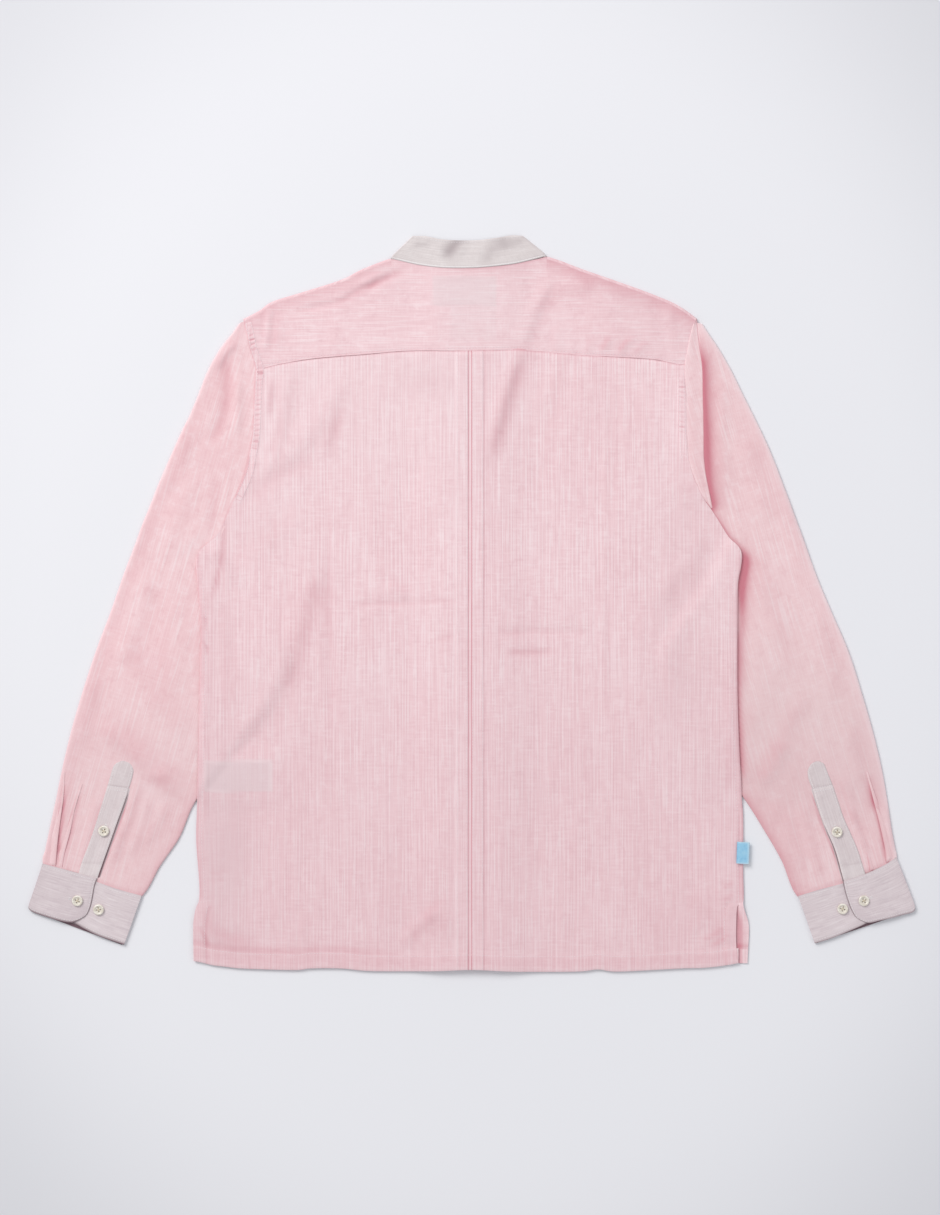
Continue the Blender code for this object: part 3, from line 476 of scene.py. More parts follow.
def woven_material(name, base, light, dark, ribs):
    """A woven ribbon: ribs across it and slight uneven wear; the piece's tint makes it darker at some edges and lighter
    at others.
    """
    t = Tree(name)
    across, along = t.weave()
    deep, pale, _ = t.tint()
    rib = t.math("SINE", t.math("MULTIPLY", along, 2 * math.pi * ribs))
    yarn = t.math("SINE", t.math("MULTIPLY", across, 2 * math.pi * ribs * 1.3))
    wear = t.noise(across, along, 300, 200, 2.0, 2.0)
    colour = t.mix(t.between(rib, -1, 1, 0.16), base, light)
    colour = t.mix(t.between(wear, 0.5, 0.85, 0.25), colour, light)
    colour = t.mix(t.between(wear, 0.5, 0.2, 0.4), colour, dark)
    colour = t.mix(pale, colour, light)
    colour = t.mix(deep, colour, dark)
    t.bump(t.math("ADD", rib, t.math("MULTIPLY", yarn, 0.5)), 0.35, 0.0002)
    t.surface(colour, t.between(wear, 0.3, 0.7, 0.6, 0.8), 0.0, 0.35)
    return t.mat


def floor_material():
    t = Tree("pale_paper")
    x, y = t.place()
    cloud = t.noise(x, y, 1.1, 1.1, 4.0, 2.0)
    paper = t.mix(t.between(cloud, 0.3, 0.7), (0.866, 0.866, 0.896), (0.874, 0.874, 0.902))
    # the paper darkens away from the middle of the view: painted light falloff
    across = t.math("POWER", t.math("MULTIPLY", x, 1.25), 2.0)
    away = t.math("ADD", across, t.math("POWER", y, 2.0))
    t.surface(t.mix(t.between(away, 0.30, 0.85, 0.8), paper, (0.700, 0.700, 0.730)), 0.9, 0.0, 0.2)
    return t.mat


BODY_CLOTH = cloth_material("body_cotton", "body")
YOKE_CLOTH = cloth_material("yoke_cotton", "yoke", 131.0)
SLEEVE_CLOTH = cloth_material("sleeve_cotton", "sleeve", 37.0)
TRIM_CLOTH = cloth_material("trim_cotton", "trim")
COLLAR_CLOTH = cloth_material("collar_cotton", "collar", 17.0)
TOWER_CLOTH = cloth_material("tower_cotton", "tower")
PINK_THREAD = thread_material("pink_thread", (0.84, 0.66, 0.69), (0.93, 0.80, 0.82))
GREY_THREAD = thread_material("grey_thread", (0.80, 0.77, 0.78), (0.90, 0.88, 0.88))
IVORY_THREAD = thread_material("ivory_thread", (0.70, 0.60, 0.44), (0.82, 0.74, 0.58))
IVORY = button_material()
TAB_RIBBON = woven_material("sky_ribbon", (0.325, 0.640, 0.865), (0.640, 0.850, 0.955), (0.200, 0.480, 0.740), 1500)
LABEL_RIBBON = woven_material("white_ribbon", (0.790, 0.775, 0.770), (0.870, 0.860, 0.855), (0.640, 0.610, 0.615), 1700)


# ---------------------------------------------------------------- camera, light and floor
VIEW_CENTRE = (-0.001175, -0.004895)
VIEW_HEIGHT = 1215 * DRAWN * 0.001
LENS, SENSOR = 85.0, 36.0

camera = bpy.data.objects.new("camera", bpy.data.cameras.new("camera"))
bpy.context.scene.collection.objects.link(camera)
camera.data.lens = LENS
camera.data.sensor_fit = "VERTICAL"
camera.data.sensor_height = SENSOR
camera.data.clip_start, camera.data.clip_end = 0.01, 50
camera.location = (*VIEW_CENTRE, VIEW_HEIGHT * LENS / SENSOR + 0.004)
bpy.context.scene.camera = camera


def area_light(name, place, aim, size, power, colour):
    light = bpy.data.lights.new(name, "AREA")
    light.shape, light.size, light.size_y = "RECTANGLE", size[0], size[1]
    light.energy, light.color = power, colour
    obj = bpy.data.objects.new(name, light)
    bpy.context.scene.collection.objects.link(obj)
    obj.location = place
    obj.rotation_euler = (Vector(aim) - Vector(place)).to_track_quat("-Z", "Y").to_euler()
    return obj


area_light("window", (-2.6, 2.8, 3.2), (0.0, 0.0, 0), (2.4, 2.4), 158.0, (1.0, 0.99, 0.975))
area_light("fill", (1.9, -0.6, 1.9), (0.1, 0.0, 0), (2.0, 2.0), 8.0, (0.96, 0.97, 1.0))
world = bpy.data.worlds.new("studio")
world.use_nodes = True
world.node_tree.nodes["Background"].inputs["Color"].default_value = (0.955, 0.965, 1.0, 1)
world.node_tree.nodes["Background"].inputs["Strength"].default_value = 0.53
bpy.context.scene.world = world
bpy.context.scene.view_settings.view_transform = "Standard"
bpy.context.scene.view_settings.look = "None"

floor_mesh = bpy.data.meshes.new("floor")
floor_mesh.from_pydata([(-6, -6, -0.0004), (6, -6, -0.0004), (6, 6, -0.0004), (-6, 6, -0.0004)], [], [(0, 1, 2, 3)])
floor = bpy.data.objects.new("floor", floor_mesh)
bpy.context.scene.collection.objects.link(floor)
floor_mesh.materials.append(floor_material())


def settle(obj, material, slot, *nodes):
    """The piece's finish, its body and the node that it stands for."""
    obj.data.materials.clear()
    obj.data.materials.append(material)
    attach(obj, "root")
    if nodes:
        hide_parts(*nodes)
    return obj


# ---------------------------------------------------------------- the body's lines
# All in drawing units, seen from above, and running down or to the right.
LEFT_EDGE = [
    (256, 368), (255, 383), (254, 406), (253, 430), (251, 445), (249, 455), (246.4, 470), (240, 486), (235, 497),
    (229, 510), (224.6, 520), (219.5, 531), (213, 538), (205, 545), (198.5, 552), (196, 562), (197, 578),
    (199.9, 611), (201, 636), (199.5, 690), (198.6, 739), (197, 800), (196, 840), (198.6, 875), (199.4, 892),
    (198.4, 902), (196, 907), (194, 917), (193, 928), (193.4, 961),
]
RIGHT_EDGE = [
    (685, 363), (686, 395), (687, 440), (690, 465), (696.4, 483.6), (704.4, 499.7), (711.3, 508.9), (719.3, 521.5),
    (728.5, 536.4), (736.6, 544.4), (740.6, 550), (742, 557), (741, 567), (738.9, 577), (737.7, 588), (737.5, 612),
    (737.4, 688), (739, 742), (742, 797), (743.5, 820), (743.4, 870), (743.6, 902), (737.6, 906), (736.2, 927),
    (736.4, 946), (738.6, 963),
]
YOKE_SEAM = [
    (256, 368), (264, 367), (280, 363), (309, 358), (340, 355), (360, 353.6), (409, 349.7), (458, 350), (507, 349),
    (535, 350), (580, 354), (620, 356), (651, 358), (668, 361), (678, 363.4), (685, 363),
]
HEM = [
    (193.5, 961), (200, 962), (212, 965), (228, 967), (245, 968.6), (295, 970), (310, 968.4), (341, 968.4), (371, 971),
    (429, 971), (472, 969.5), (518, 971.5), (577, 971.5), (598, 969.4), (619, 971.5), (683, 968.3), (701, 968),
    (721, 966), (738.6, 963),
]
SHOULDER_LEFT = [(243, 319), (260, 310), (272, 301.5), (299, 293), (340, 280), (360, 270), (377, 263), (391, 258)]
SHOULDER_RIGHT = [(547, 256), (562, 261), (580, 268), (620, 282), (645, 291), (671, 301.5), (685, 309.5), (696.5, 318)]
NECK_SEAM = [(391, 258), (400, 259.8), (430, 265), (465, 268.3), (500, 266), (525, 261.4), (541, 258), (547, 256)]
ARMHOLE_LEFT = [
    (243, 319), (247, 335), (249.5, 348), (256, 368), (255, 383), (254, 406), (253, 430), (251, 445), (249, 455),
    (246.4, 470), (240, 486), (235, 497), (229, 510), (224.6, 520), (222, 543), (221, 562), (216, 580), (210, 601),
]
ARMHOLE_RIGHT = [
    (696.5, 318), (690, 337), (685, 363), (686, 395), (687, 440), (690, 465), (696.4, 483.6), (704.4, 499.7), (711.3, 508.9),
]
# The underarm seams of the sleeves where they lie below the body, in millimetres
HIDDEN_LEFT = [(-268, 62), (-250, 28), (-225, -8), (-196, -50), (-207, -97), (-240, -143), (-264, -178), (-290, -207)]
HIDDEN_RIGHT = [(269, 70), (250, 28), (225, -8), (198, -50), (207, -97), (240, -143), (264, -178), (285, -205)]

FELL = 8.4  # width of the felled seam beside each armhole
HEM_DEPTH = 16.5
SEAM_RUN = 0.9  # how far below the yoke's edge the step lies

# Creases of the back and the yoke: line, width on its left and right, rise, painted shade, side.
# On a line that runs down, its left is +X.
BODY_CREASES = [
    # from the neck down over the right shoulder blade
    ([(549, 284), (541, 300), (532, 320), (520, 352), (501, 410), (487, 464)], 6, 10, 1.15, 0.14, 1),
    ([(518, 350), (505, 392), (496, 428), (487, 470)], 5, 9, 0.4, 0.20, 1),
    ([(566, 345), (556, 372), (538, 420)], 9, 9, 0.5, 0.05, 1),
    # from the yoke seam towards the left underarm
    ([(352, 362), (334, 398), (312, 430), (280, 462), (256, 486)], 10, 16, 1.0, 0.05, 1),
    ([(297, 362), (289, 385), (284, 425), (276, 452), (262, 484)], 4, 8, 0.7, 0.08, 1),
    ([(277, 420), (272, 438), (264, 458)], 4, 6, 0.4, 0.16, 1),
    ([(271, 374), (268.5, 395), (268, 420)], 3, 5, 0.8, 0.22, 1),
    ([(283, 372), (280, 400), (274, 440)], 5, 6, 0.4, 0.05, 1),
    ([(336, 400), (331, 425), (322, 462)], 4, 7, 0.5, 0.14, 1),
    ([(310, 505), (270, 545), (232, 575)], 12, 12, 0.5, 0.06, -1),
    # the sleeve below pulls at the back
    ([(316, 562), (308, 592), (299, 628), (289, 666), (281, 690)], 8, 13, 1.05, 0.25, 1),
    ([(322, 458), (290, 470), (258, 490), (232, 515)], 7, 9, -0.4, 0.10, 0),
    ([(424, 927), (434, 911), (452, 902)], 5, 6, 0.4, 0.10, 1),
    ([(291, 668), (277, 696), (256, 722), (236, 744)], 10, 13, 0.4, 0.05, 1),
    ([(292, 664), (286, 678), (278, 690)], 4, 5, 0.3, 0.10, 1),
    ([(203, 612), (206, 622), (204, 632)], 1.5, 2.0, -0.4, 0.34, 0),
    ([(201.5, 640), (207, 648), (206, 657)], 1.5, 2.0, -0.4, 0.34, 0),
    ([(224, 600), (225, 660), (223.5, 722)], 3, 3, 0.2, 0.12, 0),
    ([(205, 546), (221, 560), (236, 590)], 8, 8, 0.5, 0.10, 0),
    ([(224.5, 516), (224, 530), (222.5, 553), (217, 580), (211, 602)], 3.0, 3.2, -0.35, 0.24, 0),
    ([(690, 556), (672, 580), (655, 606)], 9, 12, 0.9, 0.10, 1),
    ([(706, 520), (692, 560), (690, 610)], 8, 10, 0.5, 0.06, 1),
    # folds of the packing: two across and two along
    ([(327, 505), (329, 600), (331, 742)], 5, 5, -0.7, 0.11, 0),
    ([(605, 352), (606, 480), (604.5, 620), (606, 782)], 1.6, 3.2, 0.4, 0.05, 1),
    ([(340, 604), (392, 603), (436, 600.6), (471, 601)], 2.2, 3.2, -0.5, 0.14, 0),
    ([(434, 641), (446, 637.5), (457, 636)], 1.5, 3.0, -0.4, 0.18, 0),
    ([(480, 634), (540, 631), (604, 633)], 4, 5, -0.55, 0.09, 0),
    ([(384, 584), (398, 590), (412, 600)], 4, 6, 0.8, 0.10, 1),
    ([(502, 653.4), (525, 652.4), (543, 651.6), (557, 649)], 1.6, 4.0, -0.5, 0.24, 0),
    ([(420, 480), (424, 560), (421, 600)], 7, 7, 0.35, 0.03, 1),
    # above the hem
    ([(394, 952), (417, 926), (440, 914), (458, 944)], 5, 8, 0.7, 0.10, -1),
    ([(200, 898), (204, 925), (222, 942), (262, 951)], 7, 9, 0.8, 0.17, 1),
    ([(194, 926), (202, 936), (208, 950)], 2, 3, 0.5, 0.22, 1),
    ([(204, 871), (218, 873), (232, 870)], 1.6, 1.8, -0.3, 0.10, 0),
    ([(204, 879), (216, 881), (228, 879)], 1.6, 1.8, -0.3, 0.10, 0),
    ([(690, 886), (712, 912), (736, 945)], 6, 9, 0.6, 0.08, -1),
    ([(716, 884), (727, 905), (736, 925)], 4, 6, 0.5, 0.08, -1),
    ([(560, 905), (565, 935), (562, 958)], 5, 7, 0.4, 0.04, 1),
    ([(640, 900), (652, 930), (658, 960)], 5, 8, 0.45, 0.05, 1),
    ([(300, 915), (303, 940), (312, 962)], 5, 8, 0.45, 0.05, 1),
    ([(700, 944), (712, 938), (728, 928)], 2.0, 3.0, 0.6, 0.26, 1),
    ([(708, 950), (722, 942), (734, 934)], 1.8, 2.6, 0.5, 0.24, 1),
    ([(721, 892), (730, 886), (737, 882)], 1.6, 2.4, 0.5, 0.26, 1),
    ([(723, 905), (730, 898), (737, 893)], 1.6, 2.4, 0.5, 0.26, 1),
    ([(690, 938), (697, 925), (707, 915)], 3.0, 5.0, 0.4, 0.08, 1),
    # side seams
    ([(739.5, 803), (739.4, 850), (739.6, 902)], 1.2, 1.2, -0.5, 0.20, 0),
    ([(732, 640), (731, 720), (733, 800)], 4, 6, 0.4, 0.05, -1),
    ([(207, 640), (205, 740), (204, 880)], 5, 4, 0.4, 0.04, 1),
]
# Broad soft painted shade where the cloth lies a little lower, and painted light where an amount is
# negative: place and reach in millimetres, then the amounts for the deep and the grey tints
BODY_SHADES = (
    (226.0, 40.0, 36.0, 70.0, 0.065, 0.16), (212.0, -66.0, 26.0, 62.0, 0.065, 0.18), (-264.0, -276.0, 30.0, 80.0, 0.09, 0.40),
    (-50.0, 236.0, 24.0, 22.0, 0.08, 0.18), (251.0, -175.0, 20.0, 36.0, 0.05, 0.14), (-258.0, -350.0, 44.0, 14.0, 0.05, 0.14), (-272.0, -10.0, 12.0, 80.0, 0.06, 0.10), (-160.0, 30.0, 22.0, 26.0, 0.04, 0.06),
    (-226.0, 76.0, 32.0, 26.0, 0.04, 0.08), (18.0, 130.0, 8.0, 96.0, 0.07, 0.05), (44.0, 110.0, 9.0, 110.0, -0.07, 0.0), (-168.0, -38.0, 9.0, 52.0, -0.10, 0.0),
    (-254.0, -40.0, 9.0, 80.0, 0.09, 0.06), (-246.0, -240.0, 26.0, 44.0, 0.07, 0.10), (-46.0, -344.0, 20.0, 18.0, 0.07, 0.06), (232.0, 124.0, 26.0, 54.0, 0.06, 0.06),
    (207.0, -84.0, 14.0, 44.0, 0.06, 0.06), (-40.0, 232.0, 30.0, 18.0, 0.05, 0.04),
)
YOKE_CREASES = [
    ([(556, 273), (549, 284), (541, 300), (532, 320), (520, 352)], 5, 10, 1.05, 0.15, 1),
    ([(362, 291), (378, 282), (392, 274.5), (408, 268.5)], 2.8, 3.8, -0.7, 0.28, 0),
    ([(356, 287), (372, 278), (387, 270)], 3, 3, 0.8, 0.0, 0),
    ([(287, 313.5), (312, 307), (340, 301), (362, 288), (400, 273)], 3, 4, -0.7, 0.16, 0),
    ([(330, 305), (352, 292), (380, 277)], 6, 6, 0.4, 0.14, -1),
    ([(271.5, 302), (269.5, 322), (268, 352)], 2.2, 4.0, 1.3, 0.0, 0),
    ([(272.5, 303), (271, 318), (268, 345), (266.5, 362)], 5, 2.0, -0.5, 0.15, 1),
    ([(264, 306), (262, 325), (262, 345)], 2.5, 3.0, -0.4, 0.16, 0),
    ([(283, 312), (279, 335), (277, 352)], 4, 5, 0.4, 0.06, -1),
    ([(562, 268), (580, 284), (590, 300)], 8, 10, 0.6, 0.08, 1),
    ([(600, 283), (570, 288), (548, 292)], 5, 7, 0.5, 0.10, 1),
    ([(600, 356), (606, 345), (613, 335)], 1.6, 3.0, 0.8, 0.28, 1),
    ([(618, 357), (626, 344), (637, 336)], 1.6, 3.0, 0.8, 0.28, 1),
    ([(634, 358), (641, 348), (650, 341)], 1.5, 2.6, 0.5, 0.22, 1),
    ([(586, 354), (590, 344), (594, 338)], 1.5, 2.6, 0.5, 0.18, 1),
    ([(430, 349), (436, 330), (434, 300)], 8, 8, 0.4, 0.04, 1),
    ([(486, 349), (482, 330), (480, 318)], 4, 6, 0.4, 0.08, 1),
    ([(560, 352), (556, 338), (560, 322)], 4, 6, 0.5, 0.08, 1),
    ([(330, 355), (336, 338), (334, 318)], 7, 8, 0.35, 0.04, 1),
    ([(667, 303), (672, 325), (676, 350)], 5, 7, 0.7, 0.08, 1),
    ([(645, 293), (650, 320), (655, 352)], 7, 8, 0.35, 0.05, 1),
]

left_of = by_y(seen(LEFT_EDGE)[::-1])
right_of = by_y(seen(RIGHT_EDGE)[::-1])
seam_at = by_x(seen(YOKE_SEAM))
hem_at = by_x(seen(HEM))
left_hole = smooth_curve(seen(ARMHOLE_LEFT), 160)
right_hole = smooth_curve(seen(ARMHOLE_RIGHT), 100)
hidden_left = smooth_curve(HIDDEN_LEFT, 80)
hidden_right = smooth_curve(HIDDEN_RIGHT, 80)


def over_sleeves(x, y):
    """How far the body is lifted where a sleeve passes below it."""
    left = nearest(x, y, hidden_left)[1]
    right = nearest(x, y, hidden_right)[1]
    side = ease((9 - left) / 18) * (x < -90) * ease((74 - y) / 22)
    other = ease((9 + right) / 18) * (x > 90) * ease((80 - y) / 22)
    low = ease((y + 236) / 26)
    return 2 * LAYER * np.maximum(side, other) * low


def centre_lift(x):
    return CENTRE_BACK * ease((BACK_RAMP[0] - np.abs(x)) / (BACK_RAMP[0] - BACK_RAMP[1]))


def felled(x, y, hole, inward):
    """The raised band of a felled seam, its puckers, and where it lies."""
    away, signed, place, length = nearest(x, y, hole)
    on = (signed * inward > -0.2) & (place < 0.999) & (place > 0.001)
    band = on * ease((FELL + 0.8 - away) / 1.6)
    ladder = np.sin(place * length * 2 * math.pi / (5.4 + 0.8 * np.sin(place * 9)))
    uneven = 0.55 + 0.45 * ripple(place * length, away * 0, 14.0, 5)
    middle = np.exp(-(((away - FELL / 2) / (FELL * 0.36)) ** 2))
    return band, band * ladder * uneven * middle, away, place


def over_label(x, y):
    """The body is lifted a little where the care label lies below the back."""
    out_x = np.maximum(np.abs(x + 246) - 33, 0)
    out_y = np.maximum(np.abs(y + 182) - 15, 0)
    return np.maximum(over_sleeves(x, y), 1.3 * ease(1 - np.hypot(out_x, out_y) / 26))


def body_surface(x, y):
    """Height of the upper side of the back and yoke in millimetres, and its tints: painted shade and painted highlight
    on the felled seams beside the armholes.
    """
    z = LAYER + 1.0 + centre_lift(x) + over_label(x, y)
    edge = right_of(np.minimum(y, 251))
    z = z + LAYER * ease(1 - (edge - x) / 34) * ease((y - 92) / 26) * (x > 150)
    deep, pale, grey = np.zeros(np.shape(x)), np.zeros(np.shape(x)), np.zeros(np.shape(x))
    for hole, inward in ((left_hole, 1.0), (right_hole, -1.0)):
        band, rungs, away, place = felled(x, y, hole, inward)
        shown = ease((y - 96) / 20) if inward > 0 else ease((y - 150) / 20) * ease((244 - y) / 14)
        band, rungs = band * shown, rungs * shown
        z = z + 0.40 * band + 0.10 * rungs
        # painted shade in the troughs of the puckers, beside the band and along the left armhole seam; painted
        # highlight on the crests and inside the band
        deep += 0.05 * np.clip(-rungs, 0, 1) + 0.05 * np.exp(-(((away - FELL) / 1.3) ** 2)) * band
        deep += 0.12 * np.exp(-((away / 1.3) ** 2)) * (place < 0.99) * (inward > 0)
        pale += 0.06 * np.clip(rungs, 0, 1) + 0.05 * band * np.exp(-(((away - 2.2) / 1.2) ** 2))
    return z, deep, pale, grey


def small_waves(x, y, seed=3):
    """Low unevenness of cloth that has been smoothed out by hand."""
    soft = 0.34 * ripple(x, y, 64, seed, 1.7, 0.15) + 0.20 * ripple(x, y, 30, seed + 1, 2.2, -0.1)
    return soft + 0.085 * ripple(x, y, 12, seed + 2, 2.4, 0.05) + 0.03 * ripple(x, y, 6, seed + 3, 1.6)


# ---------------------------------------------------------------- back
EDGE_STEPS = [0, 0.9, 1.8, 3.0, 4.4, 5.8, 7.2, 8.2, 9.2, 11.0, 13.4]  # mm from a side edge
SIDE_COLUMNS = 80
CENTRE_X = np.array([
    -20, -18.8, -17.8, -17.2, -16.4, -15, -12.8, -10.4, -8, -6, -5, -4.6, -4.1, -3.4, -2.6, -1.9, -1.3, -0.9,
    -0.2, 1.0, 2.8, 5, 7.4, 9.4, 10.8, 11.5, 12.0, 12.9, 14.0, 15.5,
])


def side_shares(width=272.0):
    rest = np.linspace(16.5, width, SIDE_COLUMNS)
    return np.concatenate([EDGE_STEPS, rest]) / width


def tuck_rise(x):
    """The two tucks pressed along the centre back: flat bands with a step at each side."""
    rise = np.zeros(np.shape(x))
    for start, end in TUCKS:
        rise = np.maximum(rise, ease((x - start + 0.25) / 0.6) * ease((end + 0.25 - x) / 0.6))
    return rise


def back_grid(rows):
    v = np.linspace(0, 1, rows)[:, None]
    y_left = 247 * (1 - v) - 376 * v
    y_right = 252 * (1 - v) - 378 * v
    x_left, x_right = left_of(y_left), right_of(y_right)
    shares = side_shares()[None, :]
    left = x_left + shares[:, :-1] * (CENTRE_X[0] - x_left)
    right = x_right - shares[:, :-1][:, ::-1] * (x_right - CENTRE_X[-1])
    x = np.concatenate([left, np.repeat(CENTRE_X[None], rows, 0), right], axis=1)
    s = (x - x_left) / (x_right - x_left)
    y = y_left + (y_right - y_left) * s
    top, bottom = seam_at(x) - (247 + 5 * s), hem_at(x) - (-376 - 2 * s)
    return x, y + top * (1 - v) ** 1.5 + bottom * v**2, v


def make_back():
    rows = int(632 / STEP) + 1
    x, y, v = back_grid(rows)
    z, deep, pale, grey = body_surface(x, y)
    rise, shade = crease_field(x, y, BODY_CREASES)
    away_from_hem = y - hem_at(x)
    calm = ease(away_from_hem / 30) * 0.7 + 0.3
    z = z + rise * calm + small_waves(x, y) * calm
    # painted shade of the creases
    deep = deep + shade
    # the tucks, with a groove between them
    tucks = tuck_rise(x) * ease((seam_at(x) - y - 0.3) / 4)
    waver = 1 + 0.12 * ripple(x * 0, y, 26, 77)
    z = z + 0.42 * tucks * waver
    # thin lines of painted shade along the steps of the tucks, and thin lines of painted highlight beside them
    for line, width, amount in ((-4.15, 0.50, 0.80), (-0.95, 0.52, 0.92), (12.1, 0.8, 0.34), (-17.9, 0.8, 0.08)):
        fade = 1 - 0.24 * ease((-40 - y) / 300) * (line < 0)
        deep += amount * fade * np.exp(-(((x - line) / width) ** 2)) * (0.94 + (0.14 if line < 0 else 0.4) * ripple(x * 0, y, 17, int(50 + line)))
    for line, width, amount in ((-2.6, 0.8, 0.72), (-17.2, 1.15, 0.80), (-6.0, 0.8, 0.40), (0.9, 0.8, 0.40), (10.8, 0.7, 0.45)):
        pale += amount * np.exp(-(((x - line) / width) ** 2)) * (0.75 + 0.35 * ripple(x * 0, y, 21, int(80 + line)))
    # small pulls along the yoke seam
    below = seam_at(x) - y
    pulls = 0.22 * np.sin(x / 2.9 + 2.2 * ripple(x, y * 0, 30, 8)) * np.clip(ripple(x, y * 0, 38, 9) + 0.2, 0, 1)
    z = z + pulls * np.exp(-below / 9) * ease(below / 1.5)
    # the yoke's edge covers the top of the back, with a painted shadow below it
    z = z - 0.75 * ease(1 - below / 1.6)
    deep += 0.50 * np.exp(-((below / 1.1) ** 2))
    # paler and greyer towards the upper left
    grey += 0.08 * ease((y - 40) / 160) * ease((110 - x) / 160)
    pale += 0.14 * ease((y - 40) / 160) * ease((110 - x) / 160)
    # broad painted shade, and painted light where an amount is negative
    for px, py, rx, ry, shade_in, grey_in in BODY_SHADES:
        soft = np.exp(-(((x - px) / rx) ** 2) - ((y - py) / ry) ** 2)
        deep += shade_in * soft
        grey += grey_in * soft
    # the hem: a fold with one line of stitches
    stitch = away_from_hem - HEM_DEPTH
    z = z + 0.38 * ease((HEM_DEPTH - away_from_hem + 1.5) / 3) - 0.35 * np.exp(-((stitch / 1.3) ** 2))
    z = z + 0.16 * np.sin(x / 1.75 + 2 * ripple(x, y * 0, 19, 12)) * np.exp(-(((away_from_hem - HEM_DEPTH + 1) / 5.5) ** 2)) * (0.4 + 0.6 * np.clip(ripple(x, y * 0, 33, 13) + 0.3, 0, 1))
    # painted shade in the stitch groove, and darker just above it on the left; a deeper colour over the doubled band;
    # lighter along the hem's fold
    deep += 0.16 * np.exp(-((stitch / 1.1) ** 2)) + 0.24 * np.exp(-(((stitch - 3) / 3.4) ** 2)) * ease((-60 - x) / 60)
    deep += 0.10 * ease((HEM_DEPTH - 0.5 - away_from_hem) / 3) * (0.3 + 0.7 * ease((away_from_hem - 1) / 8))
    pale += (0.14 + 0.20 * ease((x + 150) / 60)) * np.exp(-((away_from_hem / 2.5) ** 2))
    # painted shade and grey growing towards the bottom, where the light falls off; a pale line along the hem band just
    # below the stitches
    low = ease((60 - y) / 260)
    deep += 0.075 * ease((60 - y) / 400) + 0.035 * low
    grey += 0.10 * low
    pale += 0.22 * np.exp(-(((stitch + 1.6) / 1.0) ** 2))
    # rolled edges along the side seams, with painted shade along them
    x_left, x_right = x[:, :1], x[:, -1:]
    inset = np.minimum(x - x_left, x_right - x)
    seam_side = ease((58 - y) / 10) * ease((y + 314) / 4)
    roll = (1 - np.sqrt(np.clip(1 - (1 - np.clip(inset / 3.2, 0, 1)) ** 2, 0, 1))) * seam_side
    z = z - (z - 1.45 - over_sleeves(x, y)) * roll * 0.96
    deep += 0.20 * np.exp(-((inset / 2.2) ** 2)) * seam_side + 0.06 * np.exp(-((inset / 9) ** 2)) * seam_side
    # facings of the vents, with painted shade in their fold line
    vent = ease((-316 - y) / 4)
    for facing, edge, at in ((inset, 1, 13.5),):
        z = z - 0.30 * np.exp(-(((inset - at) / 1.3) ** 2)) * vent + 0.22 * ease((at - inset) / 2) * vent
        deep += 0.15 * np.exp(-(((inset - at) / 1.2) ** 2)) * vent
    # the care label shows through
    lx, ly = (x - (-246)) / 35.5, (y - (-182)) / 16.5
    label = ease((1 - np.abs(lx)) * 35.5 / 1.5 + 0.5) * ease((1 - np.abs(ly)) * 16.5 / 1.5 + 0.5)
    z = z + 0.25 * label
    grey += 0.50 * label
    rim = np.minimum((1 - np.abs(lx)) * 35.5, (1 - np.abs(ly)) * 16.5)
    pale += 0.45 * np.exp(-(((rim - 1.0) / 1.3) ** 2)) * label
    points = [np.stack([x, y, z], axis=-1)]
    weave = [np.stack([x, y], axis=-1)]
    tints = [np.stack([deep, pale, grey], axis=-1)]
    # the hem turns under and runs back up
    for drop, out in ((-0.12, 0.22), (-0.45, 0.34), (-0.78, 0.22), (-0.9, -0.4), (-0.9, -5.0), (-0.9, -10.0), (-0.9, -15.5)):
        points.append(np.stack([x[-1:], y[-1:] - out, z[-1:] + drop], axis=-1))
        weave.append(np.stack([x[-1:], y[-1:] - 1 + out], axis=-1))
        tints.append(np.stack([deep[-1:], pale[-1:], grey[-1:]], axis=-1))
    cloth = Cloth("back_cloth")
    cloth.grid(np.concatenate(points), np.concatenate(weave), np.concatenate(tints))
    return cloth.make()


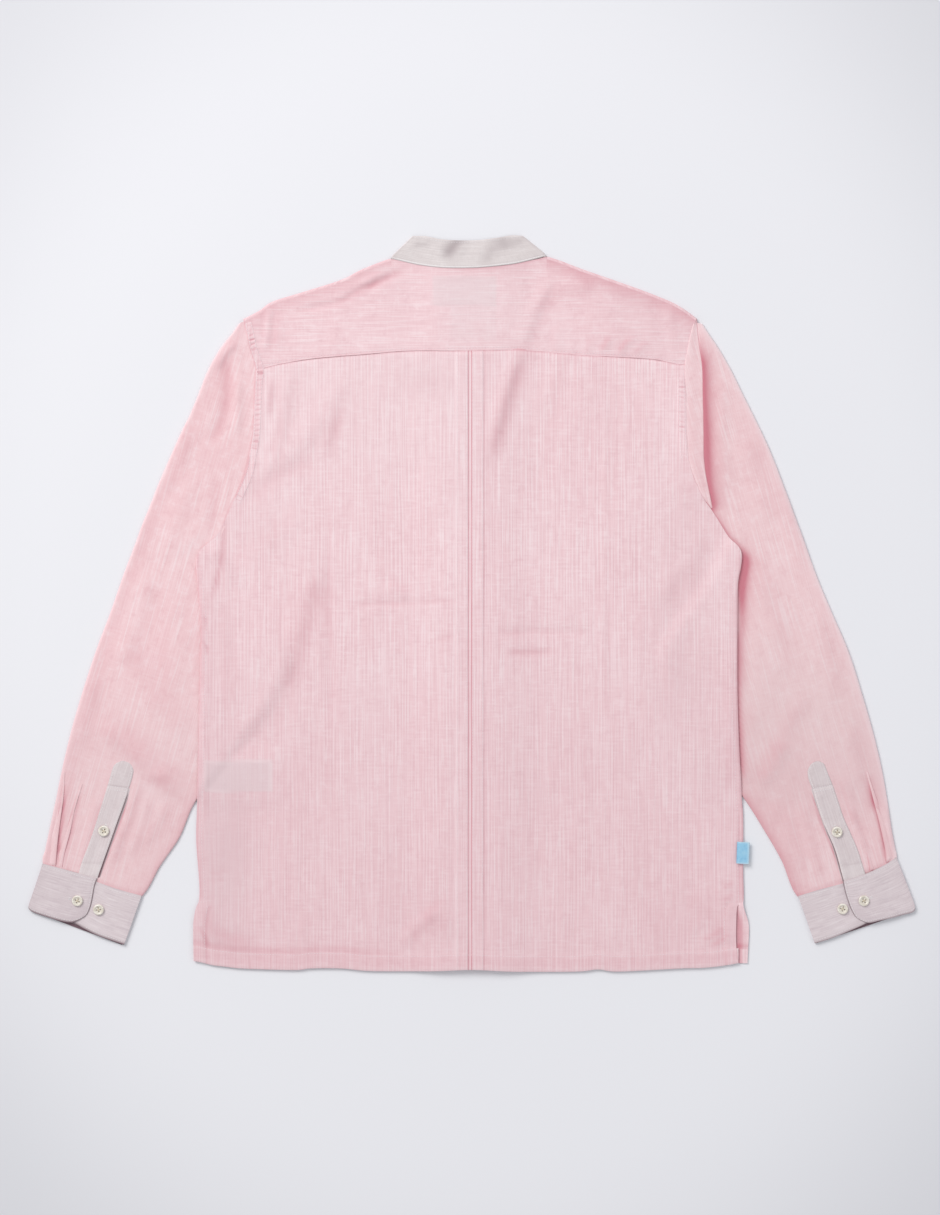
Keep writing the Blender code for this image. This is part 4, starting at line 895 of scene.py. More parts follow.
# ---------------------------------------------------------------- yoke
def make_yoke():
    """The yoke runs up from its seam, over the shoulders, and down to the shoulder
    seams at the front. Between the shoulders it ends at the collar."""
    per_side = 52
    xs = np.concatenate([
        [-241, -240, -239, -237.6, -236, -234.2, -232.6, -231.5, -229.5, -227],
        np.linspace(-224, -85.6, per_side), [-85.45], np.linspace(-85.6, 78.2, per_side)[1:-1], [78.05], np.linspace(78.2, 221, per_side),
        [223.6, 226, 227.6, 229, 230.6, 232, 233.4, 234.2, 235],
    ])
    share = (xs + 241) / (235 + 241)
    bottom_x = -227.3 + share * (223.2 + 227.3)
    top_line = resample(np.concatenate([smooth_curve(seen(SHOULDER_LEFT), 60), smooth_curve(seen(NECK_SEAM), 60)[1:], smooth_curve(seen(SHOULDER_RIGHT), 60)[1:]]), 500)
    top_y = np.interp(xs, top_line[:, 0], top_line[:, 1])
    edge = np.stack([xs, top_y], axis=1)
    seam = np.stack([bottom_x, seam_at(bottom_x) - SEAM_RUN], axis=1)
    run = seam - edge
    length = np.linalg.norm(run, axis=1)
    shoulder = (xs < -85.5) | (xs > 78.1)
    roll, half = 3.4, 1.0
    rows_main = 40
    t_main = 1 - (1 - np.linspace(1, 0, rows_main)) ** 1.0
    start = np.where(shoulder, roll / length, 0.0)
    cloth = Cloth("yoke_cloth")
    blocks, weaves, tints = [], [], []
    path = np.zeros(len(xs))

    def put(x, y, z, across, tint):
        blocks.append(np.stack([x, y, z], axis=-1))
        weaves.append(np.stack([across, x], axis=-1))
        tints.append(np.stack(tint, axis=-1))

    for t in t_main:
        share_down = start + (1 - start) * t
        x, y = edge[:, 0] + run[:, 0] * share_down, edge[:, 1] + run[:, 1] * share_down
        z, deep, pale, grey = body_surface(x, y)
        rise, shade = crease_field(x, y, YOKE_CREASES)
        above = (1 - share_down) * length
        calm = 0.35 + 0.65 * ease(share_down * length / 14)
        z = z + (rise + 0.9 * small_waves(x, y, 13)) * calm
        # gathers above the seam on the right and small pulls along all of it
        pulls = 0.20 * np.sin(x / 2.7 + 2.4 * ripple(x, y * 0, 27, 15)) * (0.35 + 0.65 * np.clip(ripple(x, y * 0, 41, 16), 0, 1))
        z = z + pulls * np.exp(-above / 10)
        z = z - 0.22 * np.exp(-(((above - 2.2) / 1.0) ** 2))
        # painted shade of the creases, in the stitch groove and at the yoke's lower edge
        deep = deep + shade + 0.10 * np.exp(-(((above - 2.2) / 1.0) ** 2)) + 0.10 * np.exp(-(((above) / 0.8) ** 2))
        # the label inside the neck
        lx, ly = (x + 8.4) / 34.1, (y - 327.5) / 15.5
        label = ease((1 - np.abs(lx)) * 34.1 / 1.6 + 0.5) * ease((1 - np.abs(ly)) * 15.5 / 1.6 + 0.5)
        z = z + 0.2 * label
        stem = ease((1 - np.abs((x - 0.5) / 23.5)) * 23.5 / 2 + 0.5) * ease((1 - np.abs((y - 294) / 18)) * 18 / 2 + 0.5)
        grey = grey + 0.40 * label + 0.16 * stem * (1 - label)
        # painted shade growing towards the right, away from the light; greyer about the middle and towards the right,
        # and paler about the middle
        deep = deep + 0.055 * ease((x - 20) / 150)
        grey = grey + 0.10 * np.exp(-(((x + 10) / 70) ** 2)) + 0.10 * ease((x - 110) / 60)
        pale = pale + 0.09 * np.exp(-(((x + 5) / 80) ** 2))
        # painted shade along the shoulder folds and along the collar seam
        near = share_down * length
        deep = deep + np.where(shoulder, np.where(x > 0, 0.40, 0.29) * np.exp(-((near / np.where(x > 0, 13, 11)) ** 2)), 0.30 * np.exp(-((near / 1.6) ** 2)) + 0.10 * np.exp(-((near / 12) ** 2)))
        put(x, y, z, y, (deep, pale, grey))
        if t == t_main[-1]:
            last = z
    middle = (last + 0.3) / 2
    radius = (last - 0.3) / 2
    # round the shoulder fold, with a little painted shade on it
    for angle in np.radians(np.arange(75, -91, -15)):
        reach = (roll - roll * math.cos(angle)) / length
        x, y = edge[:, 0] + run[:, 0] * reach, edge[:, 1] + run[:, 1] * reach
        put(x, y, middle + radius * math.sin(angle), edge[:, 1] + 2 * math.sin(angle), (0.12 + 0 * x, 0 * x, 0 * x))
    front_rows = 12
    for t in np.linspace(0, 1, front_rows)[1:]:
        reach = (roll + (38.0 - roll) * t) / length
        x, y = edge[:, 0] + run[:, 0] * reach, edge[:, 1] + run[:, 1] * reach
        put(x, y, 0.3 + 0 * x, 2 * edge[:, 1] - y + 5, (0.05 + 0 * x, 0 * x, 0 * x))
    points = np.array(blocks)
    keep = np.ones((points.shape[0] - 1, len(xs) - 1), bool)
    neck = ~(shoulder[:-1] & shoulder[1:])
    keep[rows_main - 1 :, neck] = False
    cloth.grid(points, np.array(weaves), np.array(tints), keep=keep, flip=True)
    obj = cloth.make(weld=0.0)
    bm = bmesh.new()
    bm.from_mesh(obj.data)
    bmesh.ops.delete(bm, geom=[v for v in bm.verts if not v.link_faces], context="VERTS")
    bm.to_mesh(obj.data)
    bm.free()
    return obj


back = settle(make_back(), BODY_CLOTH, "cloth", "back")
yoke = settle(make_yoke(), YOKE_CLOTH, "cloth", "yoke")


# ---------------------------------------------------------------- sleeves
# Millimetres: outer_x, outer_y, inner_x, inner_y from the shoulder to the cuff. The inner
# ends run down the armhole and then along the underarm seam below the body.
SLEEVE_LEFT = np.array([
    (-245, 294, -238.5, 296), (-253, 283, -235.5, 283), (-262, 272, -234.1, 272), (-278, 245, -227, 247),
    (-286, 225, -228, 231), (-297, 198, -229, 207), (-305, 182, -230, 182), (-318, 153, -235, 155),
    (-331, 123, -244, 123), (-340, 100, -254, 103), (-347, 83, -260, 87), (-355, 61, -268, 62), (-366, 32, -250, 28),
    (-381, -11, -225, -8), (-395, -48, -196, -50), (-411, -97, -207, -97), (-424, -143, -240, -143),
    (-432, -178, -264, -178), (-437.5, -205, -290, -207), (-445, -240, -310, -250), (-449, -259, -328, -276),
    (-451.5, -274.5, -347.3, -308), (-450.6, -278.6, -351.1, -311.2),
])
SLEEVE_RIGHT = np.array([
    (242, 293, 233.1, 295), (249, 282, 229.5, 282), (256, 272, 228.1, 272), (268, 252, 223, 252), (285, 218, 224, 218),
    (297, 194, 224, 195), (308, 171, 225, 171), (319, 145, 228, 145), (326.5, 125, 235, 125), (333, 108, 243, 108),
    (341, 86, 259, 86), (347, 70, 269, 70), (362, 28, 250, 28), (377, -8, 225, -8), (395, -50, 198, -50),
    (410, -97, 207, -97), (423, -143, 240, -143), (431, -178, 264, -178), (436, -207, 285, -205),
    (441, -240, 306, -238), (444.5, -258, 325, -271), (446.0, -269.5, 341.7, -308.5),
    (445.7, -273.8, 345.5, -311.8),
])
UNDERARM_ROW = 11
# The doubled sleeve head beside the right armhole: seam_x, seam_y, fold_x, fold_y
HEAD_RIGHT = np.array([
    (233.5, 300, 235.5, 299), (229.5, 285, 237.0, 284), (226, 268, 239.0, 267), (223.4, 254, 241.2, 253),
    (224, 218, 242.3, 218), (224, 195, 242.8, 195), (225, 171, 243.1, 171), (228, 145, 243.4, 152),
    (235, 125, 246.0, 131), (243, 108, 249.5, 114), (250.8, 98.8, 252.4, 99.8),
])

# line, width on its left and right, rise, painted shade, side: as for the back
LEFT_SLEEVE_CREASES = [
    ([(92, 720), (112, 738), (140, 762), (165, 785), (184, 804)], 8, 9, 0.7, 0.15, 0),
    ([(228, 352), (227, 375), (226, 398), (221, 424), (204, 448)], 7, 9, -1.0, 0.34, 0),
    ([(238, 372), (238, 400), (236, 440)], 5, 6, 1.16, 0.055, 1),
    ([(222, 470), (214, 500), (206, 540)], 9, 9, -0.5, 0.18, 0),
    ([(240, 340), (226, 352), (214, 372)], 4, 6, 1.16, 0.16, 1),
    ([(85, 715), (130, 745), (188, 798)], 9, 12, 1.16, 0.16, 1),
    ([(120, 640), (150, 700), (190, 742)], 10, 14, 0.72, 0.115, 1),
    ([(176, 590), (168, 640), (180, 700)], 9, 12, 0.72, 0.1, -1),
    ([(150, 560), (140, 610), (112, 680)], 9, 14, 0.87, 0.1, 1),
    ([(196, 470), (176, 520), (160, 570)], 10, 14, 0.87, 0.1, 1),
    ([(192, 420), (180, 455), (160, 500)], 8, 10, 0.72, 0.085, 1),
    ([(98, 668), (88, 710), (78, 755)], 6, 9, 0.72, 0.1, 1),
    ([(65.0, 780), (62.0, 815), (58.6, 840), (57.6, 868)], 2.2, 1.5, -0.5, 0.60, 0),
    ([(84, 786), (76, 809), (70.6, 833), (65.8, 852), (64, 870)], 2.4, 1.5, -0.4, 0.34, 0),
    ([(129.8, 787), (124.2, 806), (118.4, 822), (111.2, 843), (104.6, 861), (98.2, 880)], 1.6, 1.6, -0.3, 0.95, 0),
    ([(102, 790), (92, 820), (84, 850), (80, 870)], 3, 5, 0.72, 0.16, 1),
    ([(140, 772), (132, 806), (117, 845), (106, 874)], 5, 6, 1.01, 0.19, 1),
    ([(150, 790), (143, 820), (128, 862)], 4, 7, 0.87, 0.13, 1),
    ([(166, 800), (158, 822), (140, 850)], 5, 8, 0.72, 0.1, 1),
    ([(172, 770), (158, 776), (142, 772)], 6, 7, 0.58, 0.1, 1),
]
RIGHT_SLEEVE_CREASES = [
    ([(812, 688), (797, 712), (784, 738), (776, 762)], 8, 9, 0.5, 0.10, 0),
    ([(710, 350), (711, 380), (711, 420), (710, 455), (715, 490)], 8, 5, -0.5, 0.06, 0),
    ([(722, 372), (722, 410), (722, 452), (730, 495)], 7, 7, 0.87, 0.085, -1),
    ([(743.5, 548), (742, 575), (741, 615), (742, 700)], 7, 4, -0.4, 0.30, 0),
    ([(790, 738), (776, 762), (760, 790)], 8, 10, 1.3, 0.19, -1),
    ([(758, 700), (748, 740), (750, 790)], 7, 9, 0.87, 0.145, -1),
    ([(758, 560), (772, 620), (790, 680)], 10, 12, 0.72, 0.085, 1),
    ([(812, 600), (824, 650), (838, 710)], 9, 12, 0.72, 0.085, 1),
    ([(742, 430), (756, 480), (772, 530)], 10, 12, 0.72, 0.085, 1),
    ([(772, 470), (790, 530), (806, 580)], 8, 10, 0.58, 0.07, 1),
    ([(846, 720), (854, 755), (862, 790)], 7, 9, 0.72, 0.1, 1),
    ([(868.0, 780), (877.4, 813), (883.6, 842), (885.6, 868)], 1.5, 2.4, -0.5, 0.66, 0),
    ([(811.0, 788), (815.6, 803), (820.4, 818), (826.6, 833), (833.2, 848), (842.6, 880)], 1.6, 1.6, -0.3, 0.75, 0),
    ([(868, 770), (872, 795), (876, 815)], 4, 6, -0.3, 0.32, 0),
    ([(848, 800), (854, 818), (860, 834), (867, 852), (869, 866)], 1.6, 4, 0.8, 0.16, 1),
    ([(884, 800), (889, 828), (892, 858)], 4, 3, 0.87, 0.16, 1),
    ([(800, 800), (806, 830), (816, 868), (822, 888)], 6, 6, 0.87, 0.13, 1),
    ([(786, 806), (792, 836), (804, 872)], 6, 8, 0.72, 0.115, 1),
    ([(770, 800), (782, 826), (796, 850)], 5, 8, 0.58, 0.085, 1),
    ([(842, 770), (850, 800), (860, 832)], 5, 6, 0.72, 0.13, -1),
]


def spline(values, at, want):
    """Values at other places along a table, on a smooth curve."""
    values, at = np.asarray(values, float), np.asarray(at, float)
    slope = np.gradient(values, at, axis=0)
    i = np.clip(np.searchsorted(at, want, side="right") - 1, 0, len(at) - 2)
    h = (at[i + 1] - at[i])[:, None]
    t = ((want - at[i]) / (at[i + 1] - at[i]))[:, None]
    return (
        (2 * t**3 - 3 * t**2 + 1) * values[i] + (t**3 - 2 * t**2 + t) * h * slope[i]
        + (3 * t**2 - 2 * t**3) * values[i + 1] + (t**3 - t**2) * h * slope[i + 1]
    )


def rows_of(table, spacing):
    middle = (table[:, :2] + table[:, 2:4]) / 2
    at = np.concatenate([[0], np.cumsum(np.linalg.norm(np.diff(middle, axis=0), axis=1))])
    want = np.linspace(0, at[-1], int(at[-1] / spacing) + 1)
    return spline(table, at, want), want, at


def grain(x, y, direction):
    """Weave coordinates of flat cloth whose threads run in this direction."""
    d = np.array(direction, float) / np.linalg.norm(direction)
    return np.stack([x * -d[1] + y * d[0], x * d[0] + y * d[1]], axis=-1)


def sleeve_height(x, y, left, creases):
    """Height of a sleeve's upper layer, the painted shade of its creases, and how free it lies of the body."""
    outside = (left_of(y) - x) if left else (x - right_of(y))
    free = ease((outside - 1) / 24)
    rise, shade = crease_field(x, y, creases)
    loft = 0.25 + 0.65 * ease((y + 235) / 90)
    z = 2.1 + free * (0.9 * small_waves(x, y, 23 if left else 33) + loft)
    calm = ease((outside + 1) / 7)
    z = z + rise * np.where(y < 70, calm, ease(outside / 5))
    return z, shade * calm, free


def make_sleeve(name, table, left):
    rows, at_row, marks = rows_of(table, STEP * 0.87)
    outer, inner = rows[:, :2], rows[:, 2:4]
    sewn = marks[UNDERARM_ROW]
    below = ease((at_row - sewn + 6) / 14)[:, None]  # 0 along the armhole, 1 below it
    width = np.linalg.norm(inner - outer, axis=1)[:, None]
    tuck = (1 - below) * 3.0  # goes below the band of the armhole seam
    inner = inner + (inner - outer) / width * tuck
    width = width + tuck
    roll = np.minimum(3.6, width * 0.25)
    count = 46
    near = np.array([0, 0.45, 1.0, 1.7, 2.6, 3.6, 5.0])
    direction = (-150, -530) if left else (150, -530)
    cloth = Cloth(name)
    # from the outer fold to the inner end, as distances along each row
    span = np.linspace(0, 1, count)[None, :]
    middle_run = 6.5 + span * (width - 13.0)
    wide = width > 26
    top_run = np.where(wide, np.concatenate([np.repeat(near[None], len(rows), 0), middle_run, width - near[None, ::-1]], axis=1),
                       np.linspace(0, 1, count + 2 * len(near))[None, :] * width)

    def place(run):
        share = run / width
        return outer[:, :1] + (inner[:, :1] - outer[:, :1]) * share, outer[:, 1:] + (inner[:, 1:] - outer[:, 1:]) * share

    x, y = place(top_run)
    z, deep, free = sleeve_height(x, y, left, LEFT_SLEEVE_CREASES if left else RIGHT_SLEEVE_CREASES)
    low = 0.06
    waist = 1.1
    if not left:  # it passes below the doubled sleeve head
        head_x = np.interp(y, HEAD_RIGHT[::-1, 3], HEAD_RIGHT[::-1, 2])
        under = ease((head_x + 0.8 - x) / 3) * ease((y - 84) / 18)
        z = z - (z - 1.55) * under
        off = np.maximum(x - head_x, 0)
        # painted shadow of the sleeve head's fold on the sleeve beside it, strongest about its middle
        strong = 0.70 + 0.34 * np.exp(-(((y - 160) / 34) ** 2))
        beside = ease((y - 92) / 14) * ease((290 - y) / 44)
        deep = deep + strong * np.exp(-((off / 9.0) ** 2)) * beside
        deep = deep + (0.16 * np.exp(-((off / 15) ** 2)) + 0.25 * np.exp(-((off / 3.5) ** 2))) * beside
    outer_roll = 1 - np.sqrt(np.clip(1 - (1 - np.clip(top_run / roll, 0, 1)) ** 2, 0, 1))
    from_inner = np.clip((width - top_run) / 3.2, 0, 1)
    inner_roll = (1 - np.sqrt(np.clip(1 - (1 - from_inner) ** 2, 0, 1))) * below
    z = z - (z - waist) * np.maximum(outer_roll, inner_roll * 0.97)
    if left:
        # painted shade growing towards the cuff, where the light falls off; a little lighter towards the top and in a
        # patch on the upper part
        deep = deep + 0.06 * ease((-60 - y) / 200) - 0.035 * ease((y + 80) / 60) - 0.06 * np.exp(-(((x + 292) / 22) ** 2) - ((y - 88) / 44) ** 2)
    else:
        from_body = np.maximum(x - right_of(y), 0)
        # painted shadow beside the body's edge below the armpit, and along that edge higher and lower down; painted
        # shade growing towards the cuff, where the light falls off
        deep = deep + (0.92 * np.exp(-(((from_body - 4) / 5.5) ** 2)) + 0.30 * np.exp(-(((from_body - 8) / 15) ** 2))) * ease((64 - y) / 26) * ease((y + 44) / 80)
        deep = deep + 0.46 * np.exp(-((from_body / 5.5) ** 2)) * ease((120 - y) / 14) * ease((y - 30) / 26)
        deep = deep + 0.80 * np.exp(-((from_body / 4.4) ** 2)) * ease((-14 - y) / 30) * ease((y + 196) / 30)
        deep = deep + 0.14 * ease((-60 - y) / 200) * (1 - 0.7 * ease((-190 - y) / 60))
    # painted shade along the rolled outer edge and along the inner edge, a band of it just inside the left sleeve's
    # outer edge, and painted highlight on the outer rim
    edge_shade = 0.7 * np.exp(-((top_run / 6.0) ** 2)) + 0.5 * np.exp(-((top_run / 22.0) ** 2)) - 0.5 * np.exp(-((top_run / 1.8) ** 2))
    inner_shade = (np.exp(-(((width - top_run) / 6.0) ** 2)) + 0.5 * np.exp(-(((width - top_run) / 20.0) ** 2))) * below
    if left:
        deep = deep + 0.17 * edge_shade + 0.08 * np.exp(-(((top_run - 11) / 5) ** 2)) + 0.17 * inner_shade
    else:
        deep = deep + 0.06 * edge_shade + (0.17 + 0.14 * ease((-190 - y) / 20)) * inner_shade
    rim = (0.40 if left else 0.75) * np.exp(-((top_run / 3.2) ** 2)) + (0.10 if left else 0.24) * np.exp(-((top_run / 9.0) ** 2))
    # painted shade along the armhole seam
    seam_shade = np.exp(-(((width - top_run - tuck) / 1.5) ** 2)) * (1 - below)
    deep = deep + 0.30 * seam_shade
    dip = ease((at_row - at_row[-1] + 6.0) / 4.4)[:, None]  # into the cuff
    z = z - (z - 1.98) * dip
    # painted shade where the sleeve goes below the cuff
    deep = deep + 0.20 * ease((at_row - at_row[-1] + 6.4) / 2.0)[:, None]
    # greyer towards the cuff
    grey = 0.28 * ease((-20 - y) / 180) if left else 0.46 * ease((60 - y) / 260) * (1 - 0.5 * ease((-190 - y) / 60)) + 0.11 * ease((y + 190) / 80)
    # the lower layer, with its outside turned to the surface
    floor_run = np.concatenate([np.repeat(near[None, 1:], len(rows), 0), 6.5 + np.linspace(0, 1, 12)[None, :] * (width - 13.0), width - near[None, ::-1]], axis=1)
    floor_run = np.where(wide, floor_run, np.linspace(0.06, 1, floor_run.shape[1])[None, :] * width)
    fx, fy = place(floor_run)
    fold_up = 1 - np.sqrt(np.clip(1 - (1 - np.clip(floor_run / roll, 0, 1)) ** 2, 0, 1))
    close = (1 - np.sqrt(np.clip(1 - (1 - np.clip((width - floor_run) / 3.2, 0, 1)) ** 2, 0, 1))) * below
    fz = low + (waist - low) * np.maximum(fold_up, close * 0.90)
    fz = fz + (0.97 - fz) * dip * (1 - np.maximum(fold_up, close))
    xs = np.concatenate([fx[:, ::-1], x], axis=1)
    ys = np.concatenate([fy[:, ::-1], y], axis=1)
    zs = np.concatenate([fz[:, ::-1], z], axis=1)
    flat_weave = grain(xs, ys, direction)
    flat_weave[:, : fx.shape[1], 0] += 400
    # the lower layer a little deeper, with painted highlight where it rolls up at the outer edge
    none = np.zeros(fx.shape)
    tints = np.stack([np.concatenate([none + 0.04, deep], axis=1), np.concatenate([(0.2 if left else 0.6) * np.exp(-((floor_run[:, ::-1] / 2.5) ** 2)), rim], axis=1), np.concatenate([none, grey], axis=1)], axis=-1)
    cloth.grid(np.stack([xs, ys, zs], axis=-1), flat_weave, tints, flip=not left)
    if not left:
        strip, _, _ = rows_of(HEAD_RIGHT, 2.4)
        strip[:, 0] -= 3.0
        wide = (strip[:, 2] - strip[:, 0])[:, None]
        near_seam = np.array([0, 1.6, 2.6, 3.0, 3.5, 4.2, 5.2])[None, :]
        run_out = np.concatenate([np.repeat(near_seam, len(strip), 0), 6.4 + np.linspace(0, 1, 7)[None, :] * (wide - 7.5)], axis=1)
        run_out = np.where(wide > 9.5, run_out, np.linspace(0, 1, 14)[None, :] * (wide - 1.1))
        lie = run_out / (wide - 1.1)
        sx = strip[:, :1] + run_out
        sy = strip[:, 1:2] + (strip[:, 3:4] - strip[:, 1:2]) * lie
        beside_body = 2.70 + LAYER * ease((sy - 92) / 26)
        crown = beside_body - 0.95 + 1.0 * ease((run_out - 2.75) / 0.75) + 0.10 * np.sin(lie * math.pi) + 0.05 * ripple(sx, sy, 14, 61, 1.8)
        crown = crown - 1.30 * ease((lie - 0.30) / 0.70) * ease((sy - 100) / 20)
        crown = crown - 0.8 * ease((strip[-1, 1] + 16 - sy) / 16)
        last = crown[:, -1:]
        parts_x, parts_y, parts_z = [sx], [sy], [crown]
        for angle in np.radians((50, 15, -20, -55, -90)):
            parts_x.append(strip[:, 2:3] - 1.1 + 1.1 * math.cos(angle))
            parts_y.append(strip[:, 3:4])
            parts_z.append(last - 0.45 + 0.45 * math.sin(angle))
        back_in = np.minimum(9.0, wide * 0.7)
        parts_x.append(strip[:, 2:3] - 1.1 - back_in * 0.5)
        parts_x.append(strip[:, 2:3] - 1.1 - back_in)
        parts_y += [strip[:, 3:4]] * 2
        parts_z += [last - 0.95, last - 1.0]
        px, py, pz = (np.concatenate(k, axis=1) for k in (parts_x, parts_y, parts_z))
        # painted shade on the fold's turned-under side, painted highlight just outside the body's edge and along the
        # fold's crest
        tone = np.zeros(px.shape)
        tone[:, :4] += 0.03
        tone[:, 14:] += 0.50
        light = np.zeros(px.shape)
        light[:, 3:6] += 0.20
        light[:, 11:15] += 0.05
        cloth.grid(np.stack([px, py, pz], axis=-1), grain(px, py, direction), np.stack([tone, light, 0 * tone], axis=-1))
    add_pleats(cloth, "left" if left else "right", direction)
    return cloth.make(wall=0.45)


# The sleeve plackets. Drawing units: left_x, left_y, right_x, right_y from the tip to the cuff
TOWERS = {
    "left": [
        (121.4, 760.9, 123.6, 760.8), (117.0, 762.6, 128.0, 762.0), (114.0, 765.4, 131.4, 764.8), (112.2, 769.0, 133.4, 769.4),
        (110.4, 775.0, 132.6, 776.0), (107.2, 786.0, 128.8, 788.8), (101.0, 806.0, 123.2, 805.5), (94.4, 827.0, 117.2, 822.0),
        (88.2, 845.0, 110.0, 842.6), (82.0, 861.0, 103.4, 861.0), (78.0, 874.5, 97.0, 879.5), (77.0, 878.0, 96.0, 883.0),
    ],
    "right": [
        (816.2, 761.2, 819.8, 761.3), (813.0, 762.6, 823.0, 762.8), (809.8, 765.8, 825.4, 766.6), (808.0, 769.5, 827.2, 771.5),
        (808.2, 778.0, 830.2, 778.5), (812.4, 789.0, 832.8, 785.0), (816.8, 803.0, 838.2, 801.0), (821.8, 818.0, 843.6, 817.0),
        (828.0, 833.0, 850.2, 832.0), (834.5, 848.0, 857.0, 847.5), (844.0, 881.0, 866.0, 875.5), (845.2, 884.6, 867.2, 879.0),
    ],
}

# Pleats at the cuffs: the line of the fold from its start down to the cuff, the width of the
# folded strip, on which side of the fold it lies (-1: its -X side), and its height
PLEATS = {
    "left": [
        ([(64.4, 772), (63.2, 794), (61.0, 812), (58.6, 830), (56.6, 848), (55.4, 864), (55.2, 870)], 9.0, -1, 0.90),
        ([(82.0, 784), (74.4, 809), (69.4, 833), (64.4, 852), (62.2, 865), (61.8, 872)], 7.0, -1, 0.42),
    ],
    "right": [
        ([(866.6, 772), (873.3, 797), (879.8, 823), (885.0, 847), (886.4, 862), (887.0, 870)], 10.0, 1, 0.90),
        ([(846.0, 792), (852.4, 812), (859.4, 833), (866.0, 851), (869.6, 866), (870.4, 874)], 6.0, 1, 0.50),
    ],
}


CUFF_TOPS = {
    "left": [(42.4, 863.5), (60.7, 868.4), (79, 873.3), (97, 878.6)],
    "right": [(843, 881.6), (865, 874.2), (884, 865.4), (896.4, 857.4)],
}


def add_pleats(cloth, side, direction):
    left = side == "left"
    cuff_top = by_x(seen(CUFF_TOPS[side]))
    for line, width, lie, height in PLEATS[side]:
        curve = smooth_curve(seen(line), 70)
        place = np.linspace(0, 1, len(curve))[:, None]
        grow = ease(place / 0.70)
        wide = width * (0.25 + 0.75 * grow)
        inward = np.array([0, 0.08, 0.2, 0.35, 0.5, 0.62, 0.72, 0.80, 0.87, 0.93, 0.97, 1.0])[None, :]
        x = curve[:, :1] + lie * wide * (1 - inward)
        y = curve[:, 1:] + 0 * x
        level = sleeve_height(x, y, left, [])[0]
        z = level - 0.55 + (0.55 + height * grow) * ease(inward / 0.75) + 0.12 * ripple(x, y, 8, 201, 2.5) * inward
        z = z - np.maximum(z - 1.9, 0) * ease((2.2 - (y - cuff_top(x))) / 2.2)
        parts = [np.stack([x, y, z], axis=-1)]
        # painted shade under the pleat's fold and on its turned-under side, growing with the pleat
        tones = [0.02 + 0.20 * grow**2 * np.exp(-(((1 - inward) * wide / 1.0) ** 2)) + 0 * x]
        for angle in np.radians((55, 20, -15, -50, -88)):
            bx = curve[:, :1] - lie * 0.45 * math.cos(angle)
            bz = z[:, -1:] - 0.42 * grow + 0.42 * grow * math.sin(angle)
            parts.append(np.stack([bx, curve[:, 1:], bz], axis=-1))
            tones.append(0.60 * grow**2 + 0 * bx)
        bx = curve[:, :1] + lie * np.minimum(3.2, wide * 0.6)
        parts.append(np.stack([bx, curve[:, 1:], z[:, -1:] - 0.9 * grow], axis=-1))
        tones.append(0.60 * grow + 0 * bx)
        points, tone = np.concatenate(parts, axis=1), np.concatenate(tones, axis=1)
        # deeper and greyer towards the cuff, as on the sleeve; the deeper part is painted shade where the light falls
        # off
        lower = ease((-60 - points[..., 1]) / 200) * (1.0 if left else 0.5)
        tone = tone + (0.06 if left else 0.10) * lower
        cloth.grid(points, grain(points[..., 0], points[..., 1], direction), np.stack([tone, 0 * tone, (0.28 if left else 0.46) * lower], axis=-1), flip=lie > 0)


sleeve_left = settle(make_sleeve("sleeve_left_cloth", SLEEVE_LEFT, True), SLEEVE_CLOTH, "cloth", "sleeve_left")
sleeve_right = settle(make_sleeve("sleeve_right_cloth", SLEEVE_RIGHT, False), SLEEVE_CLOTH, "cloth", "sleeve_right")


# ---------------------------------------------------------------- cuffs
# Drawing units. The overlap is the free end on top: its outline from the fold at the
# outer edge, and the underlap shows beside it.
CUFFS = {
    "left": dict(
        outer=[(42.4, 863.5), (37.5, 878.5), (32.4, 893.5), (28.4, 905.2), (28.6, 909.0)],
        top=[(42.4, 863.5), (60.7, 868.4), (79, 873.3), (97.0, 878.6)],
        end=[(97.0, 878.6), (94.5, 886.0), (92.3, 898.0), (90.3, 906.5), (87.6, 913.0), (84.4, 916.8)],
        bottom=[(28.6, 909.0), (33.4, 912.8), (50.0, 918.2), (64.8, 922.1), (74.2, 922.0), (84.4, 916.8)],
        inner=[(141.4, 895.7), (135.6, 912.0), (129.8, 928.5), (123.9, 944.9)],
        under_top=[(88.0, 879.5), (98.0, 882.4), (118, 889.4), (141.4, 895.7)],
        under_bottom=[(62.0, 917.5), (73.6, 923.2), (84.0, 929.2), (98.6, 936.2), (123.9, 944.9)],
        run=(-103.9, -33.8),
    ),
    "right": dict(
        outer=[(896.4, 857.4), (902.4, 872.0), (908.8, 888.5), (914.4, 903.5), (915.4, 909.2)],
        top=[(896.4, 857.4), (884, 865.4), (865, 874.2), (843.0, 881.6)],
        end=[(843.0, 881.6), (845.4, 892.6), (849.2, 904.5), (852.0, 911.0), (855.2, 916.2), (858.6, 919.2)],
        bottom=[(915.4, 909.2), (912.6, 912.9), (904.0, 915.2), (892.0, 918.2), (880, 920.8), (868, 923.0), (858.6, 919.2)],
        inner=[(798.2, 896.2), (803.8, 911.5), (809.4, 927.5), (815, 943.5)],
        under_top=[(852.0, 880.5), (843.0, 883.5), (820, 889.6), (798.2, 896.2)],
        under_bottom=[(876.0, 917.0), (865.0, 924.2), (850, 931), (832.0, 938.4), (815, 943.5)],
        run=(103.9, -33.8),
    ),
}
CUFF_WALL = 0.9


